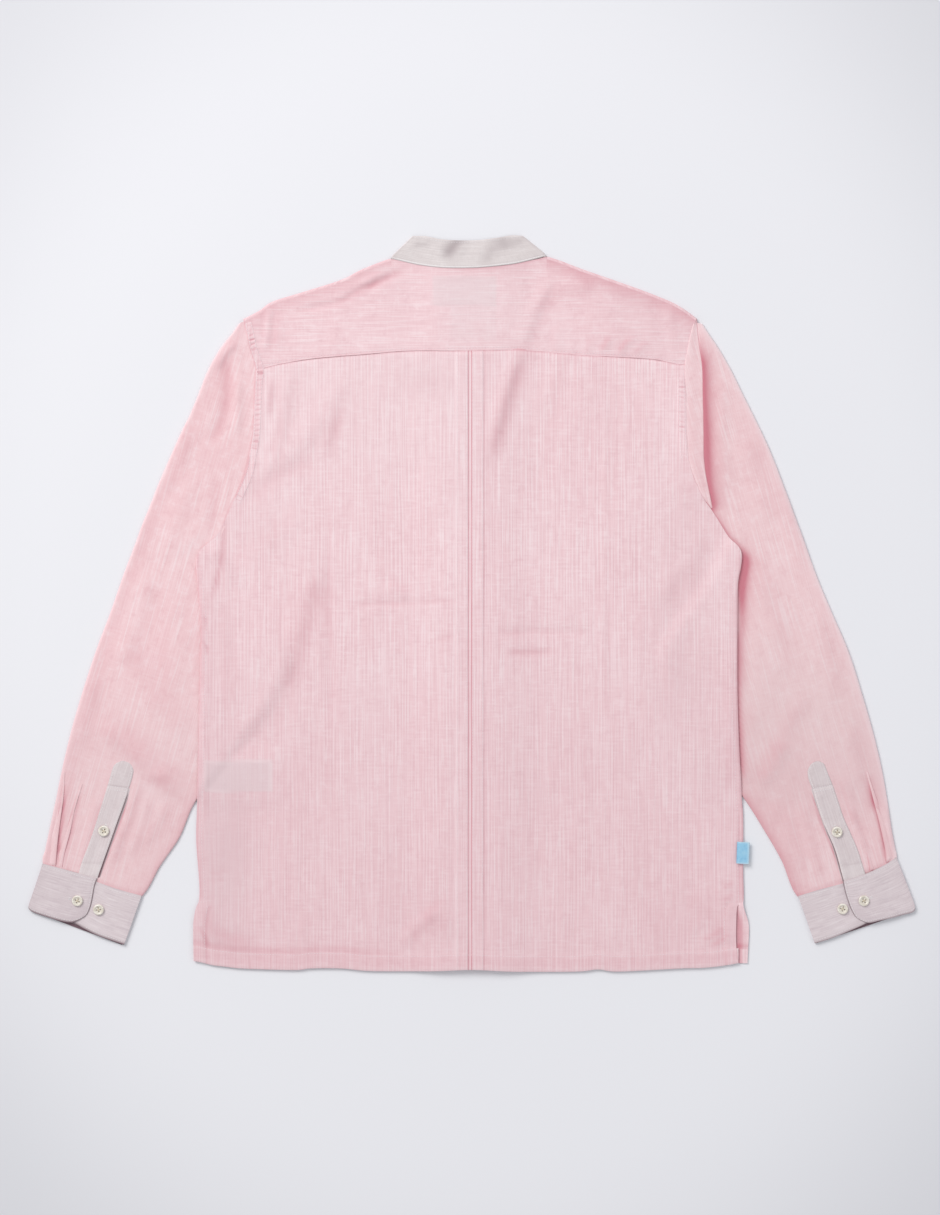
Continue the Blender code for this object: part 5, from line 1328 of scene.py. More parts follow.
def coons(top, bottom, start, end, rows, columns, at=None):
    """Points inside four curves: top and bottom run from start to end."""
    u = np.linspace(0, 1, columns) if at is None else at
    v = np.linspace(0, 1, rows)
    t, b = (spline_line(c, u) for c in (top, bottom))
    s, e = (spline_line(c, v) for c in (start, end))
    U, V = u[None, :, None], v[:, None, None]
    flat = (1 - V) * t[None] + V * b[None] + (1 - U) * s[:, None] + U * e[:, None]
    return flat - ((1 - U) * (1 - V) * t[0] + U * (1 - V) * t[-1] + (1 - U) * V * b[0] + U * V * b[-1])


def spline_line(points, share):
    curve = smooth_curve(points, 240)
    place = np.linspace(0, 1, 240)
    return np.stack([np.interp(share, place, curve[:, k]) for k in (0, 1)], axis=1)


def roll_round(low, high, out, edge, radius, steps=7):
    """Columns round a fold from the lower layer to the upper one. out is the outward
    direction in the plane, and edge the points of the fold line."""
    columns = []
    for angle in np.linspace(-math.pi / 2, math.pi / 2, steps)[1:-1]:
        flat = edge - out * radius * (1 - math.cos(angle))
        height = (low + high) / 2 + (high - low) / 2 * math.sin(angle)
        columns.append(np.concatenate([flat, height[:, None]], axis=1))
    return np.stack(columns, axis=1)


def make_cuff(side):
    c = {k: (seen(v) if k != "run" else v) for k, v in CUFFS[side].items()}
    rows = 34
    left = side == "left"
    near = np.array([0.012, 0.022, 0.04, 0.07])
    over_at = np.concatenate([near, np.linspace(0.1, 0.975, 46), [0.986, 0.995, 1.004]])
    over = coons(c["top"], c["bottom"], c["outer"], c["end"], rows, 0, over_at)
    under_at = np.concatenate([np.linspace(0.0, 0.90, 34), [0.93, 0.955, 0.972, 0.984]])
    hidden_end = np.array([c["under_top"][0], c["under_bottom"][0]])
    under = coons(c["under_top"], c["under_bottom"], hidden_end, c["inner"], rows, 0, under_at)
    v = np.linspace(0, 1, rows)
    outer_line, inner_line = spline_line(c["outer"], v), spline_line(c["inner"], v)
    flat_at = np.linspace(0.03, 0.97, 14)
    lower = outer_line[:, None] * (1 - flat_at[None, :, None]) + inner_line[:, None] * flat_at[None, :, None]

    # the lower layer's last row reaches a little beyond the upper layers, so that its edge shows as a rim of painted
    # shade
    lower[-1] += np.array([0.10 if left else -0.10, -1.0]) * (1.3 if left else 0.7)

    def waves(flat, seed):
        return 0.14 * ripple(flat[..., 0], flat[..., 1], 26, seed) + 0.06 * ripple(flat[..., 0], flat[..., 1], 9, seed + 1)

    def rims(across, along_edge):
        """A soft pillow inside the stitched rim of the doubled cloth."""
        down = np.minimum(v, 1 - v)[:, None] * 50
        return 0.22 * ease(down / 3.0) * ease(along_edge / 3.0)

    seed = 90 if left else 95
    share = np.broadcast_to(over_at[None, :], over.shape[:2])
    from_end = (1 - share) * 55
    z_over = 2.85 + 1.20 * ease((share - 0.12) / 0.45) + waves(over, seed) + rims(over, np.minimum(from_end, share * 55))
    z_over = z_over - 0.16 * np.exp(-(((np.minimum(v, 1 - v)[:, None] * 50 - 2.6) / 0.8) ** 2))
    z_over = z_over - 0.16 * np.exp(-(((from_end - 2.6) / 0.8) ** 2)) - 0.55 * (share > 1.0)
    share_u = np.broadcast_to(under_at[None, :], under.shape[:2])
    z_under = 2.78 + waves(under, seed + 3) + rims(under, (1 - share_u) * 55)
    z_under = z_under - 0.16 * np.exp(-(((np.minimum(v, 1 - v)[:, None] * 50 - 2.6) / 0.8) ** 2))
    z_low = np.zeros(lower.shape[:2]) + 0.05
    out_dir = (outer_line - inner_line) / np.linalg.norm(outer_line - inner_line, axis=1)[:, None]
    outer_roll = roll_round(z_low[:, 0], z_over[:, 0], out_dir, outer_line, 1.5)
    inner_roll = roll_round(z_low[:, -1], z_under[:, -1], -out_dir, inner_line, 1.5)
    stack = lambda flat, z: np.concatenate([flat, z[..., None]], axis=-1)
    # from the free end over the outer fold, below, round the inner fold to the underlap
    points = np.concatenate([
        stack(over, z_over)[:, ::-1], outer_roll[:, ::-1], stack(lower, z_low), inner_roll, stack(under, z_under)[:, ::-1],
    ], axis=1)
    step = np.linalg.norm(np.diff(points, axis=1), axis=2).mean(axis=0)
    along = np.concatenate([[0], np.cumsum(step)])
    down = v * 50
    weave = np.stack(np.broadcast_arrays(down[:, None], along[None, :]), axis=-1)
    n_over, n_roll, n_low = over.shape[1], outer_roll.shape[1], lower.shape[1]
    deep = np.zeros(points.shape[:2])
    pale = np.zeros(points.shape[:2])
    rim = np.minimum(v, 1 - v)[:, None] * 50
    # painted shade at the stitched rims and in their stitch grooves, painted highlight just inside the rims
    deep += 0.07 * np.exp(-(((rim - 2.6) / 0.9) ** 2)) + 0.11 * np.exp(-((rim / 0.9) ** 2))
    pale += 0.16 * np.exp(-(((rim - 1.4) / 0.7) ** 2))
    # on the free end: painted shade in its stitch groove and beside the outer fold, painted highlight along its end
    deep[:, :n_over] += (0.07 * np.exp(-(((from_end - 2.6) / 0.9) ** 2)) + 0.08 * np.exp(-((share * 55 / 3) ** 2)))[:, ::-1]
    pale[:, :n_over] += (0.30 * np.exp(-(((from_end - 0.7) / 0.8) ** 2)))[:, ::-1]
    # painted shadow along the free end's edge and along the bottom edge; the left cuff's overlap a little darker
    deep[:, 0] += 1.0
    deep[:, 1] += 0.85
    deep[:, 2] += 0.25
    deep[-1, :] += 1.0 if left else 0.60
    deep[-2, :] += 0.40 if left else 0.16
    deep[:, :n_over] += 0.05 if left else 0.0
    # the lower layer's rim below the bottom edge is dark with painted shade
    deep[-2:, n_over + n_roll : n_over + n_roll + n_low] = 1.0
    # the underlap lies in the shade of the free end
    gap = np.linalg.norm(under - spline_line(c["end"], v)[:, None], axis=2)
    deep[:, -under.shape[1]:] += (0.85 * np.exp(-((gap / (2.1 if left else 1.7)) ** 2)) * (1 if left else 0.50 + 0.50 * v[:, None] ** 2) + 0.09 * np.exp(-((gap / 4.5) ** 2)))[:, ::-1]
    cloth = Cloth(f"cuff_{side}_cloth")
    cloth.grid(points, weave, np.stack([deep, pale, 0 * deep], axis=-1), flip=left)
    return cloth.make(wall=CUFF_WALL)


cuffs = {}
for side in ("left", "right"):
    cuffs[side] = settle(make_cuff(side), TRIM_CLOTH, "trim", f"cuff_{side}")


# ---------------------------------------------------------------- sleeve plackets
def add_slit(cloth, side, direction):
    """The bound edge of the sleeve's slit beside the placket, coloured with painted shadow to show the dark gap below
    the placket's free edge.
    """
    left = side == "left"
    table = seen(np.array(TOWERS[side]).reshape(-1, 2, 2)).reshape(-1, 4)[5:]
    edge = smooth_curve(table[:, 2:4] if left else table[:, :2], 80)
    place = np.linspace(0, 1, len(edge))[:, None]
    out = 1.0 if left else -1.0
    off = np.array([-2.0, -0.8, 0.3, 1.0, 1.6, 2.1, 2.8])[None, :] if left else np.array([-2.0, -0.8, 0.0, 0.5, 1.0, 1.4, 2.0])[None, :]
    x = edge[:, :1] + out * off
    y = edge[:, 1:] + 0.12 * out * off
    start = ease((place - 0.02) / 0.10) if left else ease((place - 0.30) / 0.25)
    level = sleeve_height(x, y, left, LEFT_SLEEVE_CREASES if left else RIGHT_SLEEVE_CREASES)[0]
    z = level + 0.10 + 0.48 * start - 0.70 * ease((off - (1.5 if left else 0.9)) / 1.2)
    z = z - np.maximum(z - 1.95, 0) * ease((2.2 - (y - by_x(seen(CUFF_TOPS[side]))(x))) / 2.2)
    tone = np.array([0.9, 1.0, 1.0, 1.0, 0.80, 0.35, 0.0])[None, :] * start * (0.50 + 0.50 * place if left else 0.75)
    points = np.stack([x, y, z], axis=-1)
    cloth.grid(points, grain(x, y, direction), np.stack([tone, 0 * tone, 0 * tone], axis=-1), flip=not left)


def make_tower(side):
    table = seen(np.array(TOWERS[side]).reshape(-1, 2, 2)).reshape(-1, 4)
    rows, at_row, marks = rows_of(table, 1.6)
    left = side == "left"
    width = np.linalg.norm(rows[:, 2:4] - rows[:, :2], axis=1)[:, None]
    inset = np.array([0, 0.35, 0.8, 1.4, 2.1, 2.9])
    at = np.concatenate([np.repeat(inset[None], len(rows), 0), 3.8 + np.linspace(0, 1, 12)[None] * (width - 7.6), width - inset[None, ::-1]], axis=1)
    at = np.where(width > 14, at, np.linspace(0, 1, at.shape[1])[None] * width)
    share = at / width
    x = rows[:, :1] + (rows[:, 2:3] - rows[:, :1]) * share
    y = rows[:, 1:2] + (rows[:, 3:4] - rows[:, 1:2]) * share
    bar = marks[5]
    foot = at_row[-1] - 3.6
    below_bar = ease((at_row - bar - 2) / 8)[:, None]
    free = (1 - share) if left else share  # 0 at the free edge
    opening = below_bar * ease((0.55 - free) / 0.5) * ease((foot - at_row + 4) / 14)[:, None]
    edge = np.minimum(np.minimum(at, width - at), at_row[:, None] + 0.3)
    # it lies on the sleeve, and smooths out what is below it
    level = sleeve_height(x, y, left, [])[0] + 0.95
    z = level + 1.0 * opening + 0.10 * ripple(x, y, 14, 120 if left else 124) - 0.55 * (1 - ease(edge / 1.2))
    z = z - 0.13 * np.exp(-(((edge - 2.2) / 0.7) ** 2))
    z = z - 0.22 * np.exp(-(((at_row[:, None] - bar) / 0.9) ** 2)) + 0.10 * ease((at_row[:, None] - bar) / 1.2)
    # it goes below the top of the cuff
    cuff_top = ease((at_row[:, None] - foot + 2.4) / 2.6)
    z = z - np.maximum(z - 3.0, 0) * cuff_top
    # painted shade above the bar's stitches and along the edges, painted highlight below the bar and along the raised
    # free edge; lighter near the foot, where a seam allowance lies below, with a darker line where that begins, and a
    # pale line inside the edges
    deep = 0.17 * np.exp(-(((at_row[:, None] - bar + 1.0) / 1.0) ** 2)) + 0.08 * np.exp(-((edge / 0.8) ** 2)) * (1 - opening)
    pale = 0.32 * np.exp(-(((at_row[:, None] - bar - 0.9) / 0.8) ** 2)) + 0.55 * opening * np.exp(-((edge / 0.9) ** 2))
    pale = pale + 0.22 * ease((at_row[:, None] - foot + 16) / 3) + 0.14 * np.exp(-(((edge - 1.2) / 0.6) ** 2))
    deep = deep + 0.08 * np.exp(-(((at_row[:, None] - foot + 16) / 1.1) ** 2))
    cloth = Cloth(f"sleeve_placket_{side}_cloth")
    direction = (rows[-1, 0] - rows[5, 0], rows[-1, 1] - rows[5, 1])
    cloth.grid(np.stack([x, y, z], axis=-1), grain(x, y, direction), np.stack([deep, pale, 0 * x], axis=-1))
    add_slit(cloth, side, direction)
    return cloth.make(wall=0.6)


towers = {}
for side in ("left", "right"):
    towers[side] = settle(make_tower(side), TOWER_CLOTH, "tower", f"sleeve_placket_{side}")


# ---------------------------------------------------------------- collar
# Millimetres: seam_x, seam_y, top_x, top_y of the front halves, from the side folds to
# the ends at the centre. The back half is in drawing units.
COLLAR_FRONT_LEFT = np.array([(-86.1, 361.9, -61.8, 385.6), (-84, 333, -55, 351), (-70, 305, -46, 327), (-45, 283, -30, 311), (-18, 273, -12, 303), (12, 270, 12, 300)], float)
COLLAR_FRONT_RIGHT = np.array([(77.9, 364.6, 51.8, 385.9), (77, 333, 47, 351), (63, 305, 40, 327), (40, 283, 25, 311), (16, 273, 10, 303), (-12, 270, -12, 300)], float)
COLLAR_SEAM = [(390.5, 258.3), (399.3, 260.5), (421, 265.3), (446.5, 268.2), (478.4, 267.9), (510.3, 264.6), (529.4, 260.4), (546.7, 255.8)]
COLLAR_TOP = [(413.6, 235.8), (426, 236.0), (441.4, 239.0), (459.3, 240.1), (478.4, 239.8), (497.6, 237.4), (511, 235.2), (521.9, 235.5)]
COLLAR_CREASES = [
    ([(470, 229), (459, 240), (449, 252), (441, 262)], 5, 8, -0.6, 0.62, 0),
    ([(468, 243), (462, 250), (458, 258)], 4, 5, 0.5, 0.0, 0),
    ([(510, 231), (499, 243), (488, 256), (480, 268)], 6, 8, -0.4, 0.42, 0),
    ([(528, 238), (512, 244), (496, 248)], 4, 6, -0.3, 0.34, 0),
    ([(410, 244), (434, 246)], 3, 4, -0.2, 0.20, 0),
]


def make_collar():
    v = np.concatenate([
        [0, 0.012, 0.024, 0.036, 0.048, 0.060, 0.074, 0.092], np.linspace(0.125, 0.93, 17), [0.95, 0.968, 0.982, 0.992, 1.0],
    ])
    columns = 130
    u = np.linspace(0, 1, columns)
    # corners at the top of each side fold are rounded
    seam, top = spline_line(COLLAR_SEAM, u), spline_line(COLLAR_TOP, u)
    seam, top = seen(seam), seen(top)
    flat = seam[None] * (1 - v[:, None, None]) + top[None] * v[:, None, None]
    x, y = flat[..., 0], flat[..., 1]
    seam_z = LAYER + 1.0 + centre_lift(seam[:, 0]) + 0.75
    ends = np.minimum(u, 1 - u)[None, :] * 165
    z = seam_z[None] * (1 - v[:, None]) + (2.55 + 0 * seam_z)[None] * v[:, None]
    z = z + 0.5 * np.sin(v * math.pi)[:, None] * ease(ends / 10)
    rise, shade = crease_field(x, y, COLLAR_CREASES)
    z = z + rise + 0.12 * ripple(x, y, 16, 140)
    rim = np.minimum(v * 32, (1 - v) * 28)[:, None]
    z = z - 0.5 * (1 - ease(rim / 1.2)) - 0.16 * np.exp(-(((rim - 2.4) / 0.8) ** 2))
    # painted shade of the creases, in the stitch groove, at the ends and along the seam; a pale line just above the
    # seam and along the top edge
    deep = shade + 0.12 * np.exp(-(((rim - 2.4) / 0.9) ** 2)) + 0.12 * np.exp(-((ends / 2.5) ** 2)) + 0.55 * np.exp(-((v * 32 / 0.55) ** 2))[:, None]
    pale = 0.90 * np.exp(-(((v * 32 - 1.55) / 0.55) ** 2))[:, None] * ease((ends + 4) / 16) + 0.12 * np.exp(-((((1 - v) * 28 - 1.2) / 0.8) ** 2))[:, None]
    back_points = np.concatenate([flat, z[..., None]], axis=-1)

    def front(table, lift):
        at = np.concatenate([[0], np.cumsum(np.linalg.norm(np.diff(table[:, :2], axis=0), axis=1))])
        want = np.linspace(0, at[-1], 44)
        line = spline(table, at, want)
        p = line[None, :, :2] * (1 - v[:, None, None]) + line[None, :, 2:] * v[:, None, None]
        h = 0.06 + lift * ease((60 - np.abs(p[..., 0])) / 42)
        h = h + 0.5 * (1 - ease(np.minimum(v * 30, (1 - v) * 30)[:, None] / 1.2))
        return np.concatenate([p, h[..., None]], axis=-1)

    front_left, front_right = front(COLLAR_FRONT_LEFT, 2.5), front(COLLAR_FRONT_RIGHT, 3.8)
    fold_left, fold_right = flat[:, 0], flat[:, -1]
    out_left = (fold_left - flat[:, 4]) / np.linalg.norm(fold_left - flat[:, 4], axis=1)[:, None]
    out_right = (fold_right - flat[:, -5]) / np.linalg.norm(fold_right - flat[:, -5], axis=1)[:, None]
    grow = (-0.9 + 2.1 * ease(v / 0.14))[:, None]
    roll_left = roll_round(front_left[:, 0, 2], z[:, 0], out_left, fold_left + out_left * grow, 1.2)
    roll_right = roll_round(front_right[:, 0, 2], z[:, -1], out_right, fold_right + out_right * grow, 1.2)
    points = np.concatenate([front_left[:, ::-1], roll_left, back_points, roll_right[:, ::-1], front_right], axis=1)
    along = np.concatenate([[0], np.cumsum(np.linalg.norm(np.diff(points, axis=1), axis=2).mean(axis=0))])
    weave = np.stack(np.broadcast_arrays((v * 30)[:, None], along[None, :]), axis=-1)
    deep_all, pale_all = np.zeros(points.shape[:2]) + 0.03, np.zeros(points.shape[:2])
    start = front_left.shape[1] + roll_left.shape[1]
    deep_all[:, start : start + columns] = deep
    pale_all[:, start : start + columns] = pale
    cloth = Cloth("collar_band_cloth")
    # the rows run up from the seam
    cloth.grid(points, weave, np.stack([deep_all, pale_all, 0 * deep_all], axis=-1), flip=True)
    return cloth.make(wall=0.9)


collar = settle(make_collar(), COLLAR_CLOTH, "trim", "collar_band")


# ---------------------------------------------------------------- fronts
PLACKET_HALF = 17.5
RIGHT_FLAP = [(743.2, 896), (743.3, 903), (744.2, 908.5), (746.4, 915), (748.6, 922), (749.2, 930), (748.8, 942), (748.2, 954), (747.8, 963.5)]
flap_of = by_y(seen(RIGHT_FLAP)[::-1])


def make_front(left):
    rows = int(640 / (STEP * 1.5)) + 1
    v = np.linspace(0, 1, rows)[:, None]
    y_edge = (262 * (1 - v) - 376 * v) if left else (262 * (1 - v) - 378.5 * v)
    inner_x = -PLACKET_HALF - 0.3 if left else -14.0
    if left:
        edge = left_of(y_edge) + 0.4 - 11.5 * ease((y_edge - 247) / 15) * 0.35
    else:
        edge = np.where(y_edge > -315, right_of(y_edge) - 0.4, flap_of(y_edge))
        edge = edge + 6.0 * ease((y_edge - 247) / 15)
    shares = np.concatenate([[0, 1.0, 2.2, 3.6, 5.5, 8.0, 11.0, 13.5], np.linspace(17, 270, 46)]) / 270
    x = edge + (inner_x - edge) * shares[None, :]
    if left:
        shoulder = by_x([(-240, 259.4), (-223, 270), (-182, 288), (-139, 301), (-87.5, 324)])
        neck = by_x([(-87.5, 332), (-71.2, 303.8), (-46.0, 281.8), (-19.0, 272.4), (-17.8, 271.9)])
        limit = -85.6
        top = np.where(x < limit, shoulder(x), neck(x))
    else:
        shoulder = by_x([(79.8, 325.5), (113, 314), (155, 299), (181, 290), (208, 280), (236, 259.4)])
        neck = by_x([(-14, 268.9), (18.0, 272.6), (41.2, 281.8), (64.4, 303.8), (79.8, 333)])
        top = np.where(x > 79, shoulder(x), neck(x))
    bottom = hem_at(x) + 4.0 * ease((286 - np.abs(x)) / 30)
    if not left:
        bottom = np.where(x > 279, -378.5, bottom)
    y = top * (1 - v) + bottom * v
    lift = (2.5 if left else 3.8) * ease((62 - np.abs(x)) / 44)
    z = 0.12 + lift + over_sleeves(x, y)
    # what faces the surface is calm, apart from a few long soft folds
    soft = np.clip(ripple(x, y, 60, 170 if left else 180, 2.4), 0, 1) * 0.5
    z = z + soft * ease((y + 376) / 40)
    hem_away = y - bottom
    z = z + 0.25 * np.exp(-(((hem_away - 16) / 1.3) ** 2))
    # painted shade in the hem's stitch groove, and a slightly deeper colour all over
    deep = 0.12 * np.exp(-(((hem_away - 16) / 1.2) ** 2)) + 0.05
    inset = np.abs(x - edge)
    seam_side = ease((58 - y) / 10) * ease((y + 314) / 4)
    roll = (1 - np.sqrt(np.clip(1 - (1 - np.clip(inset / 3.0, 0, 1)) ** 2, 0, 1))) * seam_side
    z = z + 1.0 * roll
    if not left:
        vent = ease((-317 - y) / 3)
        # inside the vent the flap lies in painted shade, with more of it along its hem stitches
        deep = deep + vent * 0.62 * ease((inset - 4.5) / 3.5) * ease((24 - inset) / 8)
        line = np.exp(-(((y + 361) / 1.2) ** 2)) * vent * ease((24 - inset) / 8)
        deep = deep + 0.4 * line
        z = z + 0.5 * ease((-312.5 - y) / 2.0) * ease((7.0 - inset) / 1.5)
        z = z + 1.45 * ease((-312.5 - y) / 2.0) * ease((6.6 - inset) / 1.6) * ease((y + 338) / 18)
    # lighter along the flap's edge in the vent
    pale = 0.10 * np.exp(-(((inset - 2.5) / 1.5) ** 2)) * ease((-317 - y) / 3)
    blocks = [np.stack([x, y, z], axis=-1)]
    tints = [np.stack([deep, pale + 0 * x, 0 * x], axis=-1)]
    weaves = [np.stack([x + 700, y], axis=-1)]
    for rise, out in ((0.25, 0.2), (0.62, 0.0), (0.66, -5.0), (0.66, -14.5)):
        blocks.append(np.stack([x[-1:], y[-1:] - out, z[-1:] + rise], axis=-1))
        tints.append(tints[0][-1:])
        weaves.append(np.stack([x[-1:] + 700, y[-1:] - 1 + out], axis=-1))
    cloth = Cloth("front_left_cloth" if left else "front_right_cloth")
    # its outside looks down
    cloth.grid(np.concatenate(blocks), np.concatenate(weaves), np.concatenate(tints), flip=left)
    return cloth.make()


front_left = settle(make_front(True), BODY_CLOTH, "cloth", "front_left")
front_right = settle(make_front(False), BODY_CLOTH, "cloth", "front_right")


def make_placket():
    rows = 220
    v = np.linspace(0, 1, rows)[:, None]
    across = np.array([-17.5, -17.2, -16.6, -15.6, -14.4, -13.4, -12, -9, -6, -3, 0, 3, 6, 9, 12, 13.4, 14.4, 15.6, 16.6, 17.2, 17.5])
    x = across[None, :] + 0 * v
    y = 271.4 * (1 - v) - 381.0 * v - 0.10 * (x + PLACKET_HALF) * (1 - v)
    edge = PLACKET_HALF - np.abs(x)
    z = 2.46 + 0.05 * ripple(x, y, 20, 150, 2) + 0.30 * (1 - ease(edge / 1.0)) + 0.14 * np.exp(-(((edge - 3.6) / 0.8) ** 2))
    # painted shade in the stitch grooves, and a slightly deeper colour all over
    deep = 0.12 * np.exp(-(((edge - 3.6) / 0.8) ** 2)) + 0.05
    cloth = Cloth("front_placket_cloth")
    cloth.grid(np.stack([x, y, z], axis=-1), np.stack([x + 900, y], axis=-1), np.stack([deep, 0 * x, 0 * x], axis=-1), flip=True)
    return cloth.make(wall=0.8)


front_placket = settle(make_placket(), BODY_CLOTH, "cloth", "front_placket")


# ---------------------------------------------------------------- labels and tab
def make_label(name, node, x_range, y_range, height, wall=0.3):
    (x0, x1), (y0, y1) = x_range, y_range
    xs, ys = np.linspace(x0, x1, 40), np.linspace(y1, y0, 22)
    x, y = np.meshgrid(xs, ys)
    z = height(x, y) + 0.06 * ripple(x, y, 11, 160)
    rim = np.minimum(np.minimum(x - x0, x1 - x), np.minimum(y - y0, y1 - y))
    deep = 0.35 * np.exp(-((rim / 0.7) ** 2))
    cloth = Cloth(name)
    cloth.grid(np.stack([x, y, z], axis=-1), np.stack([x, y], axis=-1), np.stack([deep, 0 * x, 0 * x], axis=-1))
    return settle(cloth.make(wall=wall), LABEL_RIBBON, "label", node)


care_label = make_label("care_label_ribbon", "care_label", (-281, -211), (-199, -165), lambda x, y: 1.15 + over_label(x, y))
neck_label = make_label("neck_label_ribbon", "neck_label", (-42.5, 25.7), (312, 343), lambda x, y: 1.15 + centre_lift(x))


def make_tab():
    """A woven ribbon folded in two, with both ends sewn into the side seam."""
    y_top, y_bottom = -250.6, -273.4
    ys = np.linspace(y_top, y_bottom, 24)
    x_in, x_out = 277.0, 290.4
    profile = [(x_in, 4.55), (x_in + 3, 4.72), (x_in + 6, 4.66), (x_in + 9, 4.5), (x_out - 1.6, 4.35), (x_out - 0.6, 4.15), (x_out - 0.1, 3.6), (x_out - 0.3, 2.9), (x_out - 1.4, 2.55), (x_in + 9, 2.6), (x_in + 8.0, 2.6)]
    profile = np.array(profile)
    path = resample(profile, 40)
    x = path[None, :, 0] + 0 * ys[:, None]
    # a slight tilt, and a lift at the free end
    x = x + 0.018 * (ys[:, None] - y_bottom) * 2.2
    y = ys[:, None] + 0 * x - 0.055 * (x - x_in)
    z = path[None, :, 1] + 0.08 * np.sin((ys[:, None] - y_top) / 3.4)
    rim = np.minimum(ys[:, None] - y_bottom, y_top - ys[:, None]) + 0 * x
    pale = 0.9 * np.exp(-((rim / 1.0) ** 2)) + 0.7 * np.exp(-(((x - x_out + 0.4) / 1.1) ** 2))
    deep = 0.35 * np.exp(-(((x - x_in - 0.6) / 0.9) ** 2))
    along = np.concatenate([[0], np.cumsum(np.linalg.norm(np.diff(path, axis=0), axis=1))])
    cloth = Cloth("side_tab_ribbon")
    cloth.grid(np.stack([x, y, z], axis=-1), np.stack(np.broadcast_arrays(along[None, :], ys[:, None]), axis=-1), np.stack([deep, pale, 0 * x], axis=-1))
    return settle(cloth.make(wall=0.35), TAB_RIBBON, "tab", "side_tab")


side_tab = make_tab()


# ---------------------------------------------------------------- buttons
BUTTON_RADIUS = 5.7
# radius and height of the turned profile, from the middle of the face to the underside
BUTTON_FACE = [
    (0.0, 1.32), (1.2, 1.32), (2.2, 1.33), (2.9, 1.36), (3.25, 1.46), (3.55, 1.72), (3.85, 2.00), (4.15, 2.14),
    (4.5, 2.20), (4.85, 2.18), (5.15, 2.08), (5.40, 1.90), (5.58, 1.66), (5.68, 1.38), (5.70, 1.10), (5.64, 0.82),
    (5.48, 0.56), (5.20, 0.34), (4.75, 0.18), (4.1, 0.08), (3.0, 0.03), (1.5, 0.0), (0.0, 0.0),
]
HOLE_AT, HOLE_RADIUS = 1.38, 0.80


def turned(profile, segments):
    points, faces = [], []
    rings = []
    for radius, height in profile:
        if radius < 1e-6:
            rings.append([len(points)])
            points.append((0, 0, height))
            continue
        rings.append(list(range(len(points), len(points) + segments)))
        for k in range(segments):
            a = 2 * math.pi * k / segments
            points.append((radius * math.cos(a), radius * math.sin(a), height))
    for low, high in zip(rings, rings[1:]):
        for k in range(segments):
            n = (k + 1) % segments
            if len(low) == 1:
                faces.append((low[0], high[k], high[n]))
            elif len(high) == 1:
                faces.append((low[k], high[0], low[n]))
            else:
                faces.append((low[k], high[k], high[n], low[n]))
    return points, faces


def plain_mesh(name, points, faces):
    mesh = bpy.data.meshes.new(name)
    mesh.from_pydata([tuple(c * 0.001 for c in p) for p in points], [], faces)
    mesh.validate()
    return mesh


def drilled_button():
    """One button with a dished face and four holes, in its own frame."""
    disc = bpy.data.objects.new("button_blank", plain_mesh("button_blank", *turned(BUTTON_FACE, 56)))
    points, faces = [], []
    for sx, sy in ((1, 1), (1, -1), (-1, 1), (-1, -1)):
        start = len(points)
        for height in (-1, 4):
            for k in range(14):
                a = 2 * math.pi * k / 14
                points.append((sx * HOLE_AT + HOLE_RADIUS * math.cos(a), sy * HOLE_AT + HOLE_RADIUS * math.sin(a), height))
        faces.append(tuple(start + k for k in reversed(range(14))))
        faces.append(tuple(start + 14 + k for k in range(14)))
        for k in range(14):
            n = (k + 1) % 14
            faces.append((start + k, start + n, start + 14 + n, start + 14 + k))
    drill = bpy.data.objects.new("drill", plain_mesh("drill", points, faces))
    for obj in (disc, drill):
        bpy.context.scene.collection.objects.link(obj)
    cut = disc.modifiers.new("holes", "BOOLEAN")
    cut.operation, cut.solver, cut.object = "DIFFERENCE", "EXACT", drill
    apply_modifiers(disc)
    mesh = disc.data
    mesh.shade_smooth()
    mesh.set_sharp_from_angle(angle=math.radians(38))
    bpy.data.objects.remove(drill)
    bpy.data.objects.remove(disc)
    mesh.name = "drilled_button"
    return mesh


BUTTON_MESH = drilled_button()


def tube(path, radius, sides=7):
    """Points and faces of a closed round tube along a path of millimetre points."""
    path = np.asarray(path, float)
    points, faces = [], []
    tangent = np.gradient(path, axis=0)
    tangent /= np.linalg.norm(tangent, axis=1)[:, None]
    for k, (p, d) in enumerate(zip(path, tangent)):
        helper = np.array([0.0, 0.0, 1.0]) if abs(d[2]) < 0.9 else np.array([1.0, 0.0, 0.0])
        if k:
            helper = side
        other = np.cross(d, helper)
        if np.linalg.norm(other) < 1e-6:
            other = np.cross(d, [0.0, 1.0, 0.0])
        other /= np.linalg.norm(other)
        side = np.cross(other, d)
        for j in range(sides):
            a = 2 * math.pi * j / sides
            points.append(p + radius * (math.cos(a) * side + math.sin(a) * other))
    for k in range(len(path) - 1):
        for j in range(sides):
            n = (j + 1) % sides
            faces.append((k * sides + j, k * sides + n, (k + 1) * sides + n, (k + 1) * sides + j))
    faces.append(tuple(reversed(range(sides))))
    faces.append(tuple(range((len(path) - 1) * sides, len(path) * sides)))
    return points, faces


class Batch:
    """Many small things that end as one mesh."""

    def __init__(self, name):
        self.name, self.points, self.faces, self.count = name, [], [], 0

    def add(self, points, faces):
        self.points.append(np.asarray(points, float))
        self.faces += [tuple(i + self.count for i in face) for face in faces]
        self.count += len(points)

    def make(self, material, slot):
        obj = raw_mesh(self.name, np.concatenate(self.points), self.faces)
        return settle(obj, material, slot)


def turned_about(points, angle):
    c, s = math.cos(angle), math.sin(angle)
    p = np.asarray(points, float)
    return np.stack([p[:, 0] * c - p[:, 1] * s, p[:, 0] * s + p[:, 1] * c, p[:, 2]], axis=1)


